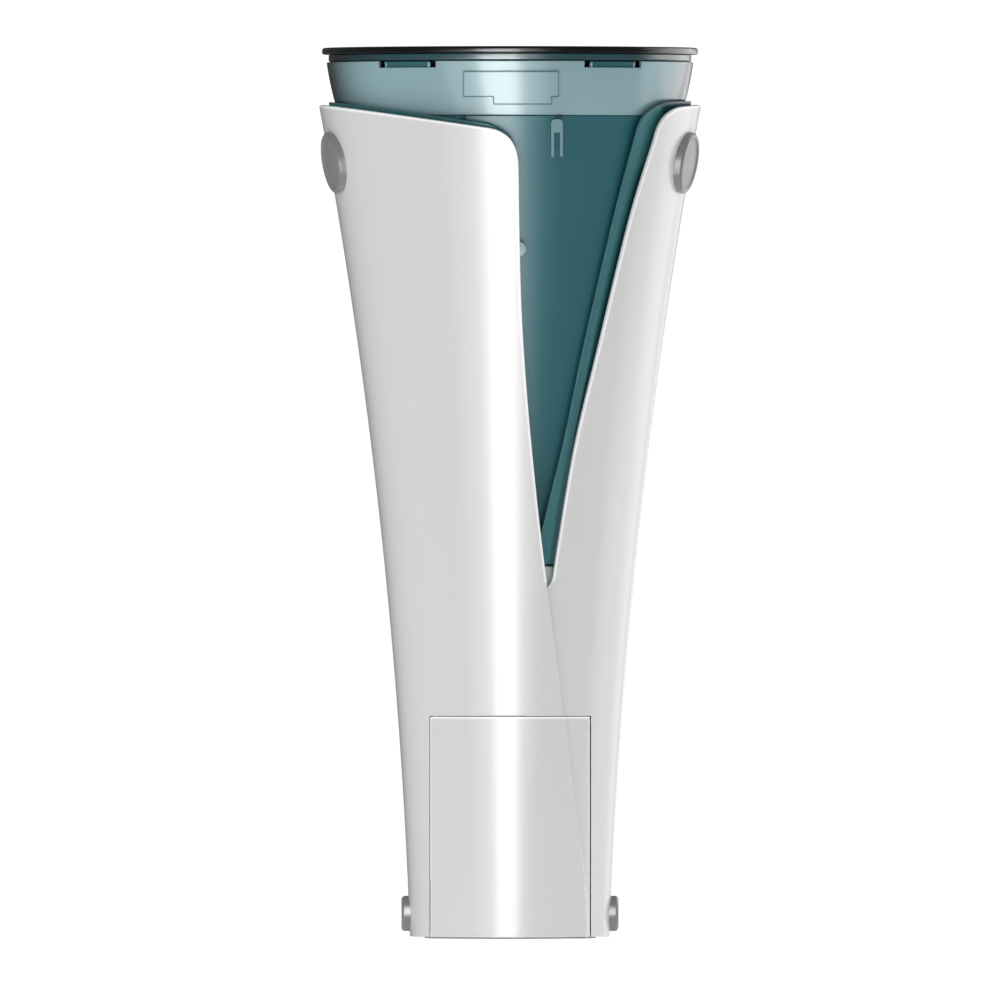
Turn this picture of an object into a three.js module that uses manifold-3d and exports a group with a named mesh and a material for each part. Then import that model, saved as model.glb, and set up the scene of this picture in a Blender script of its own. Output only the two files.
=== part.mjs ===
// All-in-one sous vide circulating bath: a water tank standing in a flared, wrapped housing.
// Millimetres, +Z up, front towards -Y, origin at the centre of the face it rests on.

import * as THREE from 'three';
import { mergeVertices } from 'three/addons/utils/BufferGeometryUtils.js';
import Module from 'manifold-3d';

const wasm = await Module();
wasm.setup();

// ---- Driving dimensions ----
const HEIGHT = 445;
const GAP = 0.3;
const SEGMENTS = 48;
const MEDIUM = 36;
const SMALL = 20;

// Outer skin: radius grows with height as a parabola.
const BASE_RADIUS = 50;
const FLARE = 0.035;
const FLARE_GROWTH = 1.784e-4;
const SKIN_BOTTOM = 0.8;
const SKIN_PEAK = 416.3;
const SKIN_REAR = 407;
const SKIN_WALL = 2.2;
const SIDE_PEAK_X = 96;
const LAP_STEP = 2.6;
const LAP_TOP = 220;
const LAP_FADE = 110;
const LAP_ANGLE = 58;
const LAP_ANGLE_FADE = 26;

const LINER_OUTSET = 5.1;
const LINER_WALL = 1.2;
const LINER_BOTTOM = 187;
const LINER_PEAK = 418.5;

// Round caps on the sides: degrees from the front, height, size, and whether they lean.
const UPPER_CAP = { angle: 75, z: 387.5, radius: 15.5, proud: 3.2, tilt: true };
const LOWER_CAP = { angle: 90, z: 12.3, radius: 9, proud: 4.7, tilt: false };
const STUD_RADIUS = 3.5;

// Service door in the lower front, on a vertical pin behind its right edge.
const DOOR_HALF = 39.6;
const DOOR_TOP = 110.7;
const SEAM = 0.7;
const DOOR_WALL = 2.8;
const HINGE = new THREE.Vector2(26.8, -34.6);
const HINGE_SWEEP = 18.6;

// Base and frame.
const FLOOR_TOP = 6;
const FRAME_RADIUS = 41;
const POST_RADIUS = 2.8;
const BRACKET_Z = 113;
const SEAT_Z = 184;

// Tank.
const TANK_BOTTOM = 186;
const TANK_TOP = 411.4;
const TANK_FOOT_RADIUS = 50.5;
const TANK_TOP_RADIUS = 85.2;
const TANK_WALL = 2.2;
const PLATE_Z = 189.3;
const PLATE_TOP = 191.3;
const COLLAR_BASE = TANK_TOP + GAP;
const COLLAR_TOP = 437.7;
const VENT_PLACES = [35, 145, 215, 325];
const VENT_SPAN = 11;
const WEB_SPAN = 8.8;
const VENT_DEPTH = 3.2;
const TAB_PLACES = [-23.5, 24];
const RIM_TOP = 441.4;
const MOUTH_RADIUS = 84;
const LID_RADIUS = 94;

// Control panel behind the door.
const PANEL_FACE = -28;
const PANEL_MID = -14.5;
const DIAL_Z = 56;
const BUTTON_Z = 31;

const skinRadius = (z) => BASE_RADIUS + FLARE * z + FLARE_GROWTH * z * z;
const tankRadius = (z) => THREE.MathUtils.mapLinear(
  z, TANK_BOTTOM, TANK_TOP, TANK_FOOT_RADIUS, TANK_TOP_RADIUS);

// ---- Materials ----
function material(color, roughness, metalness = 0, opacity = 1) {
  return new THREE.MeshStandardMaterial({
    color, roughness, metalness, opacity, transparent: opacity < 1,
  });
}

const look = {
  white: () => material('#e4e4e4', 0.25),
  teal: () => material('#3d6d76', 0.15, 0, 0.6),
  paleTeal: () => material('#8fb0b8', 0.15, 0, 0.6),
  black: () => material('#121214', 0.3),
  grey: () => material('#8f8f8f', 0.35, 0.2),
  seat: () => material('#87979b', 0.5),
  rubber: () => material('#1b1b1c', 0.9),
  steel: () => material('#b9bcbe', 0.3, 1),
  board: () => material('#2c5e3f', 0.6),
  magnet: () => material('#5d5f63', 0.4, 0.8),
  dark: () => material('#26282b', 0.5),
  glass: () => material('#0d1416', 0.05, 0, 0.8),
  ceramic: () => material('#efece4', 0.4),
};

// ---- Solid helpers ----
function signedVolume(position, index) {
  const a = new THREE.Vector3();
  const b = new THREE.Vector3();
  const c = new THREE.Vector3();
  let sum = 0;
  for (let i = 0; i < index.length; i += 3) {
    a.fromBufferAttribute(position, index[i]);
    b.fromBufferAttribute(position, index[i + 1]);
    c.fromBufferAttribute(position, index[i + 2]);
    sum += a.dot(b.cross(c));
  }
  return sum / 6;
}

function solid(geometry) {
  const bare = geometry.clone();
  bare.deleteAttribute('normal');
  bare.deleteAttribute('uv');
  const merged = mergeVertices(bare, 1e-3);
  const kept = [];
  const source = merged.index.array;
  for (let i = 0; i < source.length; i += 3) {
    const [a, b, c] = [source[i], source[i + 1], source[i + 2]];
    if (a !== b && b !== c && a !== c) kept.push(a, b, c);
  }
  if (signedVolume(merged.attributes.position, kept) < 0) kept.reverse();
  return new wasm.Manifold(new wasm.Mesh({
    numProp: 3,
    vertProperties: new Float32Array(merged.attributes.position.array),
    triVerts: new Uint32Array(kept),
  }));
}

function geometryOf(shape) {
  const mesh = shape.getMesh();
  const geometry = new THREE.BufferGeometry();
  geometry.setAttribute('position', new THREE.BufferAttribute(mesh.vertProperties, 3));
  geometry.setIndex(new THREE.BufferAttribute(mesh.triVerts, 1));
  geometry.computeVertexNormals();
  return geometry;
}

const join = (...shapes) => shapes.reduce((all, shape) => all.add(shape));
const cut = (shape, ...tools) => tools.reduce((left, tool) => left.subtract(tool), shape);

function revolved(profile, segments = SEGMENTS) {
  const points = profile.map(([r, z]) => new THREE.Vector2(r, z));
  return new THREE.LatheGeometry(points, segments).rotateX(Math.PI / 2);
}

const ring = (outer, inner, bottom, top, segments = SMALL) => solid(revolved([
  [inner, bottom], [outer, bottom], [outer, top], [inner, top], [inner, bottom],
], segments));

const disc = (radius, bottom, top, segments = SMALL) => solid(revolved([
  [0, bottom], [radius, bottom], [radius, top], [0, top],
], segments));

const rod = (x, y, radius, bottom, top, segments = 12) => (
  disc(radius, bottom, top, segments).translate([x, y, 0]));

const block = (x0, x1, y0, y1, z0, z1) => solid(
  new THREE.BoxGeometry(x1 - x0, y1 - y0, z1 - z0)
    .translate((x0 + x1) / 2, (y0 + y1) / 2, (z0 + z1) / 2));

// A cylinder along Y, from y0 (front) to y1.
const plug = (x, z, radius, y0, y1, segments = SMALL) => solid(
  new THREE.CylinderGeometry(radius, radius, y1 - y0, segments)
    .translate(x, (y0 + y1) / 2, z));

// An outline drawn in X and Z, carried along Y from y0 to y1.
function frontPrism(shape, y0, y1, curveSegments = 8) {
  const geometry = new THREE.ExtrudeGeometry(shape, {
    depth: y1 - y0, bevelEnabled: false, curveSegments,
  });
  return solid(geometry.rotateX(Math.PI / 2).translate(0, y1, 0));
}

// An outline drawn in X and Y, carried up from z0 to z1.
function topPrism(shape, z0, z1, curveSegments = 8) {
  const geometry = new THREE.ExtrudeGeometry(shape, {
    depth: z1 - z0, bevelEnabled: false, curveSegments,
  });
  return solid(geometry.translate(0, 0, z0));
}

// Closed sleeve that follows the flare, between two depths under the outer skin.
function sleeve(outset, wall, bottom, top, levels = 7, inward = () => 0) {
  const profile = [];
  for (let i = 0; i <= levels; i += 1) {
    const z = THREE.MathUtils.lerp(bottom, top, i / levels);
    profile.push([skinRadius(z) - outset, z]);
  }
  for (let i = levels; i >= 0; i -= 1) {
    const z = THREE.MathUtils.lerp(bottom, top, i / levels);
    profile.push([skinRadius(z) - outset - wall, z]);
  }
  profile.push(profile[0]);
  const geometry = revolved(profile);
  const position = geometry.attributes.position;
  for (let i = 0; i < position.count; i += 1) {
    const x = position.getX(i);
    const y = position.getY(i);
    const radius = Math.hypot(x, y);
    const angle = Math.abs(THREE.MathUtils.radToDeg(Math.atan2(x, -y)));
    const scale = (radius - inward(angle, position.getZ(i))) / radius;
    position.setXY(i, x * scale, y * scale);
  }
  return solid(geometry);
}

// The right shell steps inward at the front, low down, to pass under the left one.
function lapInward(angle, z) {
  const sideways = 1 - THREE.MathUtils.smoothstep(angle, LAP_ANGLE, LAP_ANGLE + LAP_ANGLE_FADE);
  const upward = 1 - THREE.MathUtils.smoothstep(z, LAP_TOP, LAP_TOP + LAP_FADE);
  return LAP_STEP * sideways * upward;
}

const REACH = 130;

// ---- Edges of the wrap, in X and Z as seen from the front ----
const leftEdge = new THREE.SplineCurve([
  new THREE.Vector2(4.2, 386),
  new THREE.Vector2(6.2, 305),
  new THREE.Vector2(13.5, 219),
  new THREE.Vector2(26, 119),
  new THREE.Vector2(41.5, -4),
]);

const rightEdge = new THREE.SplineCurve([
  new THREE.Vector2(73, 399),
  new THREE.Vector2(60.6, 359),
  new THREE.Vector2(44.5, 294),
  new THREE.Vector2(32.3, 243),
  new THREE.Vector2(22.8, 187),
  new THREE.Vector2(21.6, 179.4),
  new THREE.Vector2(18.6, 175.4),
  new THREE.Vector2(14.4, 169),
  new THREE.Vector2(12, 148),
  new THREE.Vector2(10, 90),
  new THREE.Vector2(9, -4),
]);

const linerEdge = new THREE.SplineCurve([
  new THREE.Vector2(64, 405),
  new THREE.Vector2(52.3, 361),
  new THREE.Vector2(36.6, 294),
  new THREE.Vector2(26, 244),
  new THREE.Vector2(13, 193),
]);

// Region in front of the axis that lies right of the left shell's edge, and above it.
function beyondLeftEdge() {
  const shape = new THREE.Shape();
  const points = leftEdge.getPoints(24).reverse();
  shape.moveTo(REACH, -4);
  points.forEach((p) => shape.lineTo(p.x, p.y));
  shape.quadraticCurveTo(3.5, 402.5, -12, 404.2);
  shape.lineTo(-SIDE_PEAK_X, SKIN_PEAK);
  shape.lineTo(-REACH, SKIN_PEAK + 4);
  shape.lineTo(-REACH, HEIGHT);
  shape.lineTo(REACH, HEIGHT);
  return shape;
}

// Region in front of the axis that lies left of a right-hand edge, and above it.
function beyondRightEdge(edge, corner, shoulder) {
  const shape = new THREE.Shape();
  shape.moveTo(-REACH, -4);
  const points = edge.getPoints(28).reverse();
  points.forEach((p) => shape.lineTo(p.x, p.y));
  shape.quadraticCurveTo(corner.x, corner.y, shoulder.x, shoulder.y);
  shape.lineTo(SIDE_PEAK_X, SKIN_PEAK);
  shape.lineTo(REACH, SKIN_PEAK);
  shape.lineTo(REACH, HEIGHT);
  shape.lineTo(-REACH, HEIGHT);
  return shape;
}

// Region above the wrap's rear edge, which dips from the sides to the back.
function aboveRearEdge(lift = 0) {
  const shape = new THREE.Shape();
  shape.moveTo(-SIDE_PEAK_X, SKIN_PEAK + lift);
  shape.lineTo(0, SKIN_REAR + lift);
  shape.lineTo(SIDE_PEAK_X, SKIN_PEAK + lift);
  shape.lineTo(REACH, SKIN_PEAK + lift);
  shape.lineTo(REACH, HEIGHT);
  shape.lineTo(-REACH, HEIGHT);
  shape.lineTo(-REACH, SKIN_PEAK + lift);
  return frontPrism(shape, -0.01, REACH);
}

const rearWindow = () => block(-18.3, 18.3, 38, REACH, 10, 66);
const doorway = (left, right) => block(left, right, -REACH, 0, -1, DOOR_TOP + SEAM);

// Bores for the studs of the round side caps.
function capBores(side, radius) {
  return [placedCap(side, UPPER_CAP, [[0, -9], [radius, -9], [radius, 9], [0, 9]]),
    placedCap(side, LOWER_CAP, [[0, -9], [radius, -9], [radius, 9], [0, 9]])];
}

// ---- Round side caps ----
// A turned profile whose axis runs outward, normal to the skin, at a cap's place.
function placedCap(side, cap, profile) {
  const slope = cap.tilt ? Math.atan(FLARE + 2 * FLARE_GROWTH * cap.z) : 0;
  const angle = THREE.MathUtils.degToRad(cap.angle) * side;
  const radius = skinRadius(cap.z);
  const geometry = revolved(profile, SMALL);
  geometry.rotateX(Math.PI / 2 + slope);
  geometry.rotateZ(angle);
  geometry.translate(radius * Math.sin(angle), -radius * Math.cos(angle), cap.z);
  return solid(geometry);
}

const bodyInside = (outset) => {
  const profile = [[0, -20]];
  for (let z = -20; z <= HEIGHT; z += 31) profile.push([skinRadius(z) - outset, z]);
  profile.push([0, profile[profile.length - 1][1]]);
  return solid(revolved(profile));
};

function sideCap(side, cap, studEnd) {
  const { radius, proud } = cap;
  const head = placedCap(side, cap, [
    [0, -2.2], [radius, -2.2], [radius, proud - 1.2], [radius - 1.1, proud - 0.1],
    [radius - 2.4, proud - 0.1], [radius - 3.2, proud - 0.9], [0, proud - 0.2],
  ]);
  const stud = placedCap(side, cap, [
    [0, studEnd], [STUD_RADIUS, studEnd], [STUD_RADIUS, 1], [0, 1],
  ]);
  return cut(head, bodyInside(-GAP)).add(stud);
}

const capNut = (side) => placedCap(side, UPPER_CAP, [
  [STUD_RADIUS + GAP, -4.4], [7, -4.4], [7, -2.8], [STUD_RADIUS + GAP, -2.8],
  [STUD_RADIUS + GAP, -4.4],
]);

// ---- Wrap ----
function leftShell() {
  return cut(
    sleeve(0, SKIN_WALL, SKIN_BOTTOM, SKIN_PEAK),
    frontPrism(beyondLeftEdge(), -REACH, 0),
    aboveRearEdge(),
    block(-0.2, REACH, -0.01, REACH, -1, HEIGHT),
    doorway(-DOOR_HALF - SEAM, REACH),
    rearWindow(),
    ...capBores(-1, STUD_RADIUS + GAP));
}

function rightShell() {
  const edge = beyondRightEdge(
    rightEdge, new THREE.Vector2(76, 413), new THREE.Vector2(87, 415));
  return cut(
    sleeve(0, SKIN_WALL, SKIN_BOTTOM, SKIN_PEAK, 9, lapInward),
    frontPrism(edge, -REACH, 0),
    aboveRearEdge(),
    block(-REACH, 0.2, -0.01, REACH, -1, HEIGHT),
    doorway(-REACH, DOOR_HALF + SEAM),
    rearWindow(),
    ...capBores(1, STUD_RADIUS + GAP));
}

// Translucent liner with its own opening at the front, hidden on the left by the flap.
function innerLiner() {
  const shape = new THREE.Shape();
  shape.moveTo(-12, 406.4);
  shape.quadraticCurveTo(-2, 405, -2.6, 384);
  leftEdge.getPoints(24).filter((p) => p.y < 370 && p.y > 196)
    .forEach((p) => shape.lineTo(p.x - 7, p.y));
  linerEdge.getPoints(20).reverse().forEach((p) => shape.lineTo(p.x, p.y));
  shape.quadraticCurveTo(67, 414, 79, 417.5);
  shape.lineTo(SIDE_PEAK_X, LINER_PEAK);
  shape.lineTo(REACH, LINER_PEAK);
  shape.lineTo(REACH, HEIGHT);
  shape.lineTo(-REACH, HEIGHT);
  shape.lineTo(-REACH, LINER_PEAK + 1.5);
  shape.lineTo(-SIDE_PEAK_X, LINER_PEAK);
  return cut(
    sleeve(LINER_OUTSET, LINER_WALL, LINER_BOTTOM, LINER_PEAK, 5),
    frontPrism(shape, -REACH, 0),
    aboveRearEdge(2),
    ...capBores(-1, 8),
    ...capBores(1, 8));
}

// Strip behind the rear seam that ties the two shells together.
function rearSpine() {
  const strip = sleeve(SKIN_WALL + GAP, 2, 70, SKIN_REAR - 4);
  return strip.intersect(block(-12, 12, 10, REACH, 0, HEIGHT));
}

// Round pad inside the left flap's edge that keeps the flap off the tank.
function flapStandoff() {
  const z = 344;
  return cut(
    plug(4, z, 4, -skinRadius(z) - 2, -skinRadius(z) + 7.2, 20)
      .intersect(bodyInside(SKIN_WALL + GAP)),
    bodyInside(7.6));
}

// ---- Door ----
function accessDoor() {
  const opening = block(-DOOR_HALF, DOOR_HALF, -REACH, -8, -1, DOOR_TOP);
  const left = cut(
    sleeve(0, DOOR_WALL, SKIN_BOTTOM, 160, 4),
    frontPrism(beyondLeftEdge(), -REACH, 0));
  const strip = new THREE.Shape();
  const points = leftEdge.getPoints(24);
  strip.moveTo(-REACH, 200);
  strip.lineTo(-REACH, -4);
  points.reverse().filter((p) => p.y < 200).forEach((p) => strip.lineTo(p.x - 3, p.y));
  const right = cut(
    sleeve(LAP_STEP, SKIN_WALL, SKIN_BOTTOM, 160, 4),
    frontPrism(strip, -REACH, 0));
  const away = HINGE.clone().normalize();
  const lug = (z, depth) => {
    const arm = new THREE.Shape();
    const side = new THREE.Vector2(-away.y, away.x).multiplyScalar(2.6);
    const end = away.clone().multiplyScalar(skinRadius(z) - depth);
    arm.moveTo(HINGE.x + side.x, HINGE.y + side.y);
    arm.lineTo(HINGE.x - side.x, HINGE.y - side.y);
    arm.lineTo(end.x - side.x, end.y - side.y);
    arm.lineTo(end.x + side.x, end.y + side.y);
    return join(topPrism(arm, z, z + 5), rod(HINGE.x, HINGE.y, 2.6, z, z + 5));
  };
  const catchPost = block(-35.6, -30, -41, -31.4, 99, 107);
  return cut(
    join(left, right).intersect(opening).add(join(lug(12, 1.6), lug(98, 3.6), catchPost)),
    rod(HINGE.x, HINGE.y, 1.35, 0, DOOR_TOP + 2));
}

// Part of a disc that the door's hinge side sweeps through.
function hingeSweep(z0, z1) {
  const from = THREE.MathUtils.degToRad(-62);
  const to = THREE.MathUtils.degToRad(140);
  const shape = new THREE.Shape();
  shape.moveTo(HINGE.x, HINGE.y);
  shape.lineTo(HINGE.x + HINGE_SWEEP * Math.cos(from), HINGE.y + HINGE_SWEEP * Math.sin(from));
  shape.absarc(HINGE.x, HINGE.y, HINGE_SWEEP, from, to, false);
  return topPrism(shape, z0, z1, 16);
}

// ---- Base and frame ----
function footPad() {
  const pad = solid(revolved([[0, 0], [42.4, 0], [43.4, 1], [43.4, 2.2], [0, 2.2]], MEDIUM));
  return cut(pad, hingeSweep(-1, 3));
}

function basePlate() {
  const floor = disc(44.9, 2.5, FLOOR_TOP, MEDIUM);
  const wall = ring(47.2, 44.4, 2.5, 20, MEDIUM);
  const frontCut = block(-REACH, REACH, -REACH, -4.8, 0, 30);
  const studs = [-1, 1].map((side) => placedCap(side, LOWER_CAP, [
    [0, -9], [STUD_RADIUS + GAP, -9], [STUD_RADIUS + GAP, 9], [0, 9]]));
  return cut(
    join(floor, cut(wall, frontCut)),
    hingeSweep(1, 30),
    block(-19, 19, 38, REACH, 9, 30),
    ...studs).add(rod(HINGE.x, HINGE.y, 2.6, 2.5, FLOOR_TOP));
}

const POST_ANGLES = [-85, 85, -140, 140];
const postPlace = (angle) => {
  const turn = THREE.MathUtils.degToRad(angle);
  return [FRAME_RADIUS * Math.sin(turn), -FRAME_RADIUS * Math.cos(turn)];
};

const framePost = (angle) => rod(
  ...postPlace(angle), POST_RADIUS, FLOOR_TOP + GAP, SEAT_Z - 12 - GAP);

function motorBracket() {
  const holes = POST_ANGLES.map((angle) => rod(
    ...postPlace(angle), POST_RADIUS + GAP, BRACKET_Z - 1, BRACKET_Z + 4));
  return cut(disc(45, BRACKET_Z, BRACKET_Z + 2.4, MEDIUM), ...holes);
}

const CONNECTOR_Y = 26;

function tankSeat() {
  const seat = solid(revolved([
    [0, SEAT_Z - 2.5], [40, SEAT_Z - 2.5], [44, SEAT_Z - 4.5], [44, SEAT_Z - 12],
    [54.6, SEAT_Z - 12], [55.4, SEAT_Z - 11], [55.4, SEAT_Z + 1.5], [54.7, SEAT_Z + 2.2],
    [52.6, SEAT_Z + 2.2], [52.6, SEAT_Z], [0, SEAT_Z],
  ], MEDIUM));
  const ledge = ring(45, 36, SEAT_Z - 12, SEAT_Z - 9, MEDIUM);
  return cut(join(seat, ledge), rod(0, CONNECTOR_Y, 6.6, SEAT_Z - 6, SEAT_Z + 6, 24));
}

const baseConnector = () => join(
  rod(0, CONNECTOR_Y, 6.3, SEAT_Z - 8, SEAT_Z + 4, 24),
  rod(0, CONNECTOR_Y, 8.4, SEAT_Z - 8, SEAT_Z - 2.8, 24));

const motorHousing = () => solid(revolved([
  [0, BRACKET_Z + 2.7], [21, BRACKET_Z + 2.7], [21, 157], [20, 158], [3, 158], [3, 156],
  [19, 156], [19, BRACKET_Z + 4.7], [0, BRACKET_Z + 4.7],
], SMALL));

const motorRotor = () => solid(revolved([
  [0, 119], [2.2, 119], [2.2, 124], [14, 124], [14, 150], [2.2, 150], [2.2, 176.4], [0, 176.4],
], SMALL));

const driveMagnet = () => solid(revolved([
  [2.5, 171], [15.2, 171], [16, 171.8], [16, 176.4], [15.2, 177.2], [2.5, 177.2], [2.5, 171],
], SMALL));

// ---- Controls ----
function controlPanel() {
  const x = PANEL_MID;
  return cut(
    block(-36, 7, PANEL_FACE, PANEL_FACE + 2.5, FLOOR_TOP + GAP, BRACKET_Z - GAP),
    block(x - 16.5, x + 16.5, -REACH, 0, 78, 94),
    plug(x, DIAL_Z, 3.6, -40, 0),
    plug(x, BUTTON_Z, 5.9, -40, 0));
}

const displayLens = () => block(
  PANEL_MID - 16.2, PANEL_MID + 16.2, PANEL_FACE, PANEL_FACE + 1.8, 78.3, 93.7);

const displayModule = () => join(
  block(PANEL_MID - 15.5, PANEL_MID + 15.5, PANEL_FACE + 2.1, PANEL_FACE + 4, 79, 93),
  block(PANEL_MID - 18, PANEL_MID + 18, PANEL_FACE + 3, PANEL_FACE + 7.1, 76, 96));

function dialKnob() {
  const profile = [
    [0, 0], [3, 0], [3, 3.4], [11, 3.4], [11, 12], [10.2, 13], [9, 13.4], [0, 12.8],
  ];
  const body = solid(revolved(profile, 24));
  const grips = [];
  for (let i = 0; i < 8; i += 1) {
    grips.push(disc(1, 5, 14, 6).translate([11.4, 0, 0]).rotate([0, 0, i * 45]));
  }
  const pointer = block(-0.6, 0.6, 4.5, 9.2, 12.2, 14);
  return cut(body, ...grips, pointer).rotate([90, 0, 0])
    .translate([PANEL_MID, PANEL_FACE + 3.1, DIAL_Z]);
}

const dialEncoder = () => block(
  PANEL_MID - 6.5, PANEL_MID + 6.5, PANEL_FACE + 3.5, PANEL_FACE + 7.1, DIAL_Z - 6.5, DIAL_Z + 6.5);

const startButton = () => join(
  plug(PANEL_MID, BUTTON_Z, 5.5, PANEL_FACE - 2.5, PANEL_FACE + 2.9),
  plug(PANEL_MID, BUTTON_Z, 6.8, PANEL_FACE + 2.8, PANEL_FACE + 3.6));

const buttonSwitch = () => block(
  PANEL_MID - 3, PANEL_MID + 3, PANEL_FACE + 5.1, PANEL_FACE + 7.1, BUTTON_Z - 3, BUTTON_Z + 3);

const controlBoard = () => block(
  -33, 4, PANEL_FACE + 7.4, PANEL_FACE + 9, FLOOR_TOP + 0.4, 106);

// ---- Power ----
const powerBoard = () => block(-30, 30, 12, 13.6, FLOOR_TOP + GAP, 104);

const transformer = () => join(
  block(-15, 15, -8, 11.7, 34, 60),
  block(-10, 10, -11, 11.7, 30, 64));

const rearPanel = () => cut(
  block(-18, 18, 43.5, 46, 10.3, 65.7),
  block(-14.1, 14.1, 30, 60, 13.7, 36.3),
  block(-11.8, 11.8, 30, 60, 43.7, 60.3));

function powerInlet() {
  const shell = cut(
    block(-13.8, 13.8, 24, 46.8, 14, 36),
    block(-11.8, 11.8, 31, 50, 16, 34.2));
  const blade = (x, z) => block(x - 1, x + 1, 30.5, 43, z - 2, z + 2);
  return join(shell, blade(-7, 20), blade(7, 20), blade(0, 25));
}

const switchFrame = () => cut(
  block(-11.5, 11.5, 32, 47, 44, 60),
  block(-10.2, 10.2, 37.5, 50, 45.6, 58.4));

const ROCKER = { y: 43, z: 52, rest: 6 };

function switchRocker() {
  const shape = new THREE.Shape();
  shape.moveTo(-4, -5.4);
  shape.lineTo(3.4, -5.6);
  shape.quadraticCurveTo(1.9, 0, 3.4, 5.6);
  shape.lineTo(-4, 5.4);
  const geometry = new THREE.ExtrudeGeometry(shape, {
    depth: 19.6, bevelEnabled: false, curveSegments: 6,
  });
  // The outline's first axis becomes +Y, its second +Z, and its depth +X.
  geometry.applyMatrix4(new THREE.Matrix4().set(
    0, 0, 1, -9.8,
    1, 0, 0, 0,
    0, 1, 0, 0,
    0, 0, 0, 1));
  geometry.rotateX(THREE.MathUtils.degToRad(-ROCKER.rest));
  return solid(geometry.translate(0, ROCKER.y, ROCKER.z));
}

// ---- Tank ----
function waterTank() {
  const inner = TANK_BOTTOM + 3;
  const tabs = TAB_PLACES.map((x) => {
    const front = -Math.sqrt(TANK_TOP_RADIUS ** 2 - x * x);
    return block(x - 1.3, x + 1.3, front - 0.7, front + 1.2, TANK_TOP - 2.4, TANK_TOP);
  });
  const wall = solid(revolved([
    [38, TANK_BOTTOM], [TANK_FOOT_RADIUS - 0.6, TANK_BOTTOM], [TANK_FOOT_RADIUS, TANK_BOTTOM + 0.6],
    [TANK_TOP_RADIUS, TANK_TOP], [TANK_TOP_RADIUS - TANK_WALL, TANK_TOP],
    [tankRadius(inner) - TANK_WALL, inner], [38, inner], [38, TANK_BOTTOM],
  ]));
  return join(wall, ...tabs);
}

// The collar's flared outline, moved outward by some distance.
function collarLine(outward = 0) {
  const curve = new THREE.QuadraticBezierCurve(
    new THREE.Vector2(TANK_TOP_RADIUS + 0.1, COLLAR_BASE),
    new THREE.Vector2(89.6, COLLAR_BASE + 12),
    new THREE.Vector2(91.7, COLLAR_TOP));
  return curve.getPoints(3).map((p) => [p.x + outward, p.y]);
}

function tankCollar() {
  const outer = collarLine();
  const inner = collarLine(-TANK_WALL).reverse();
  inner.pop();
  const spigot = [
    [80.9, COLLAR_BASE + 1.5], [80.4, COLLAR_BASE - 6], [82.1, COLLAR_BASE - 6], [82.7, COLLAR_BASE],
  ];
  const collar = solid(revolved([...outer, ...inner, ...spigot, outer[0]]));
  const notches = VENT_PLACES.map((middle) => (
    sector(middle, VENT_SPAN, 84, 99, COLLAR_TOP - VENT_DEPTH, COLLAR_TOP + 1)));
  const webs = VENT_PLACES.map((middle) => (
    sector(middle, WEB_SPAN, 84, 99, COLLAR_TOP - VENT_DEPTH - 0.2, COLLAR_TOP - 0.2)
      .intersect(collarSkin(-2, -1.2))));
  return join(cut(collar, ...notches), ...webs);
}

// Part of a ring: half as wide as span to each side of middle, in degrees from the front.
function sector(middle, span, inner, outer, bottom, top) {
  const shape = new THREE.Shape();
  const at = (angle, radius) => {
    const turn = THREE.MathUtils.degToRad(angle);
    return [radius * Math.sin(turn), -radius * Math.cos(turn)];
  };
  shape.moveTo(...at(middle - span, inner));
  shape.lineTo(...at(middle - span, outer));
  shape.lineTo(...at(middle + span, outer));
  shape.lineTo(...at(middle + span, inner));
  return topPrism(shape, bottom, top);
}

const rimRing = () => solid(revolved([
  [MOUTH_RADIUS, COLLAR_TOP + GAP], [90.2, COLLAR_TOP + GAP], [90.7, COLLAR_TOP + 0.9],
  [90.7, RIM_TOP], [MOUTH_RADIUS, RIM_TOP], [MOUTH_RADIUS, COLLAR_TOP + GAP],
]));

const baseSeal = () => ring(48.2, 46.3, PLATE_Z, PLATE_TOP, MEDIUM);
const heaterPlate = () => disc(46, PLATE_Z, PLATE_TOP, MEDIUM);
const baseCover = () => cut(
  disc(37.6, TANK_BOTTOM + 0.4, PLATE_Z - GAP, MEDIUM),
  rod(0, CONNECTOR_Y, 9.9, 180, 195, 24));
const tankConnector = () => ring(9.5, 6.8, TANK_BOTTOM + 0.4, PLATE_Z - GAP, 24)
  .translate([0, CONNECTOR_Y, 0]);
const seatGasket = () => ring(50, 46, SEAT_Z + GAP, TANK_BOTTOM - GAP, MEDIUM);

function heatingElement() {
  const loop = new THREE.TorusGeometry(34, 3.2, 8, 28).translate(0, 0, 199);
  const legs = [-30, 30].map((angle) => {
    const turn = THREE.MathUtils.degToRad(angle);
    return rod(34 * Math.sin(turn), 34 * Math.cos(turn), 2.2, PLATE_TOP + GAP, 199, 12);
  });
  return join(solid(loop), ...legs);
}

const impellerPin = () => rod(0, 0, 1.5, PLATE_TOP + GAP, 206, 12);

function impeller() {
  const hub = ring(5, 1.8, 195, 204, 16);
  const back = ring(15, 1.8, 195, 196.6, 24);
  const blades = [];
  for (let i = 0; i < 6; i += 1) {
    const shape = new THREE.Shape();
    shape.moveTo(4, -0.7);
    shape.quadraticCurveTo(10, 0, 15, 5);
    shape.lineTo(14.1, 6.2);
    shape.quadraticCurveTo(9.4, 1.7, 4, 0.9);
    blades.push(topPrism(shape, 196, 202.5, 4).rotate([0, 0, i * 60]));
  }
  return join(hub, back, ...blades);
}

const followerMagnet = () => ring(13, 6, 192, 194.7);

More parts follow.
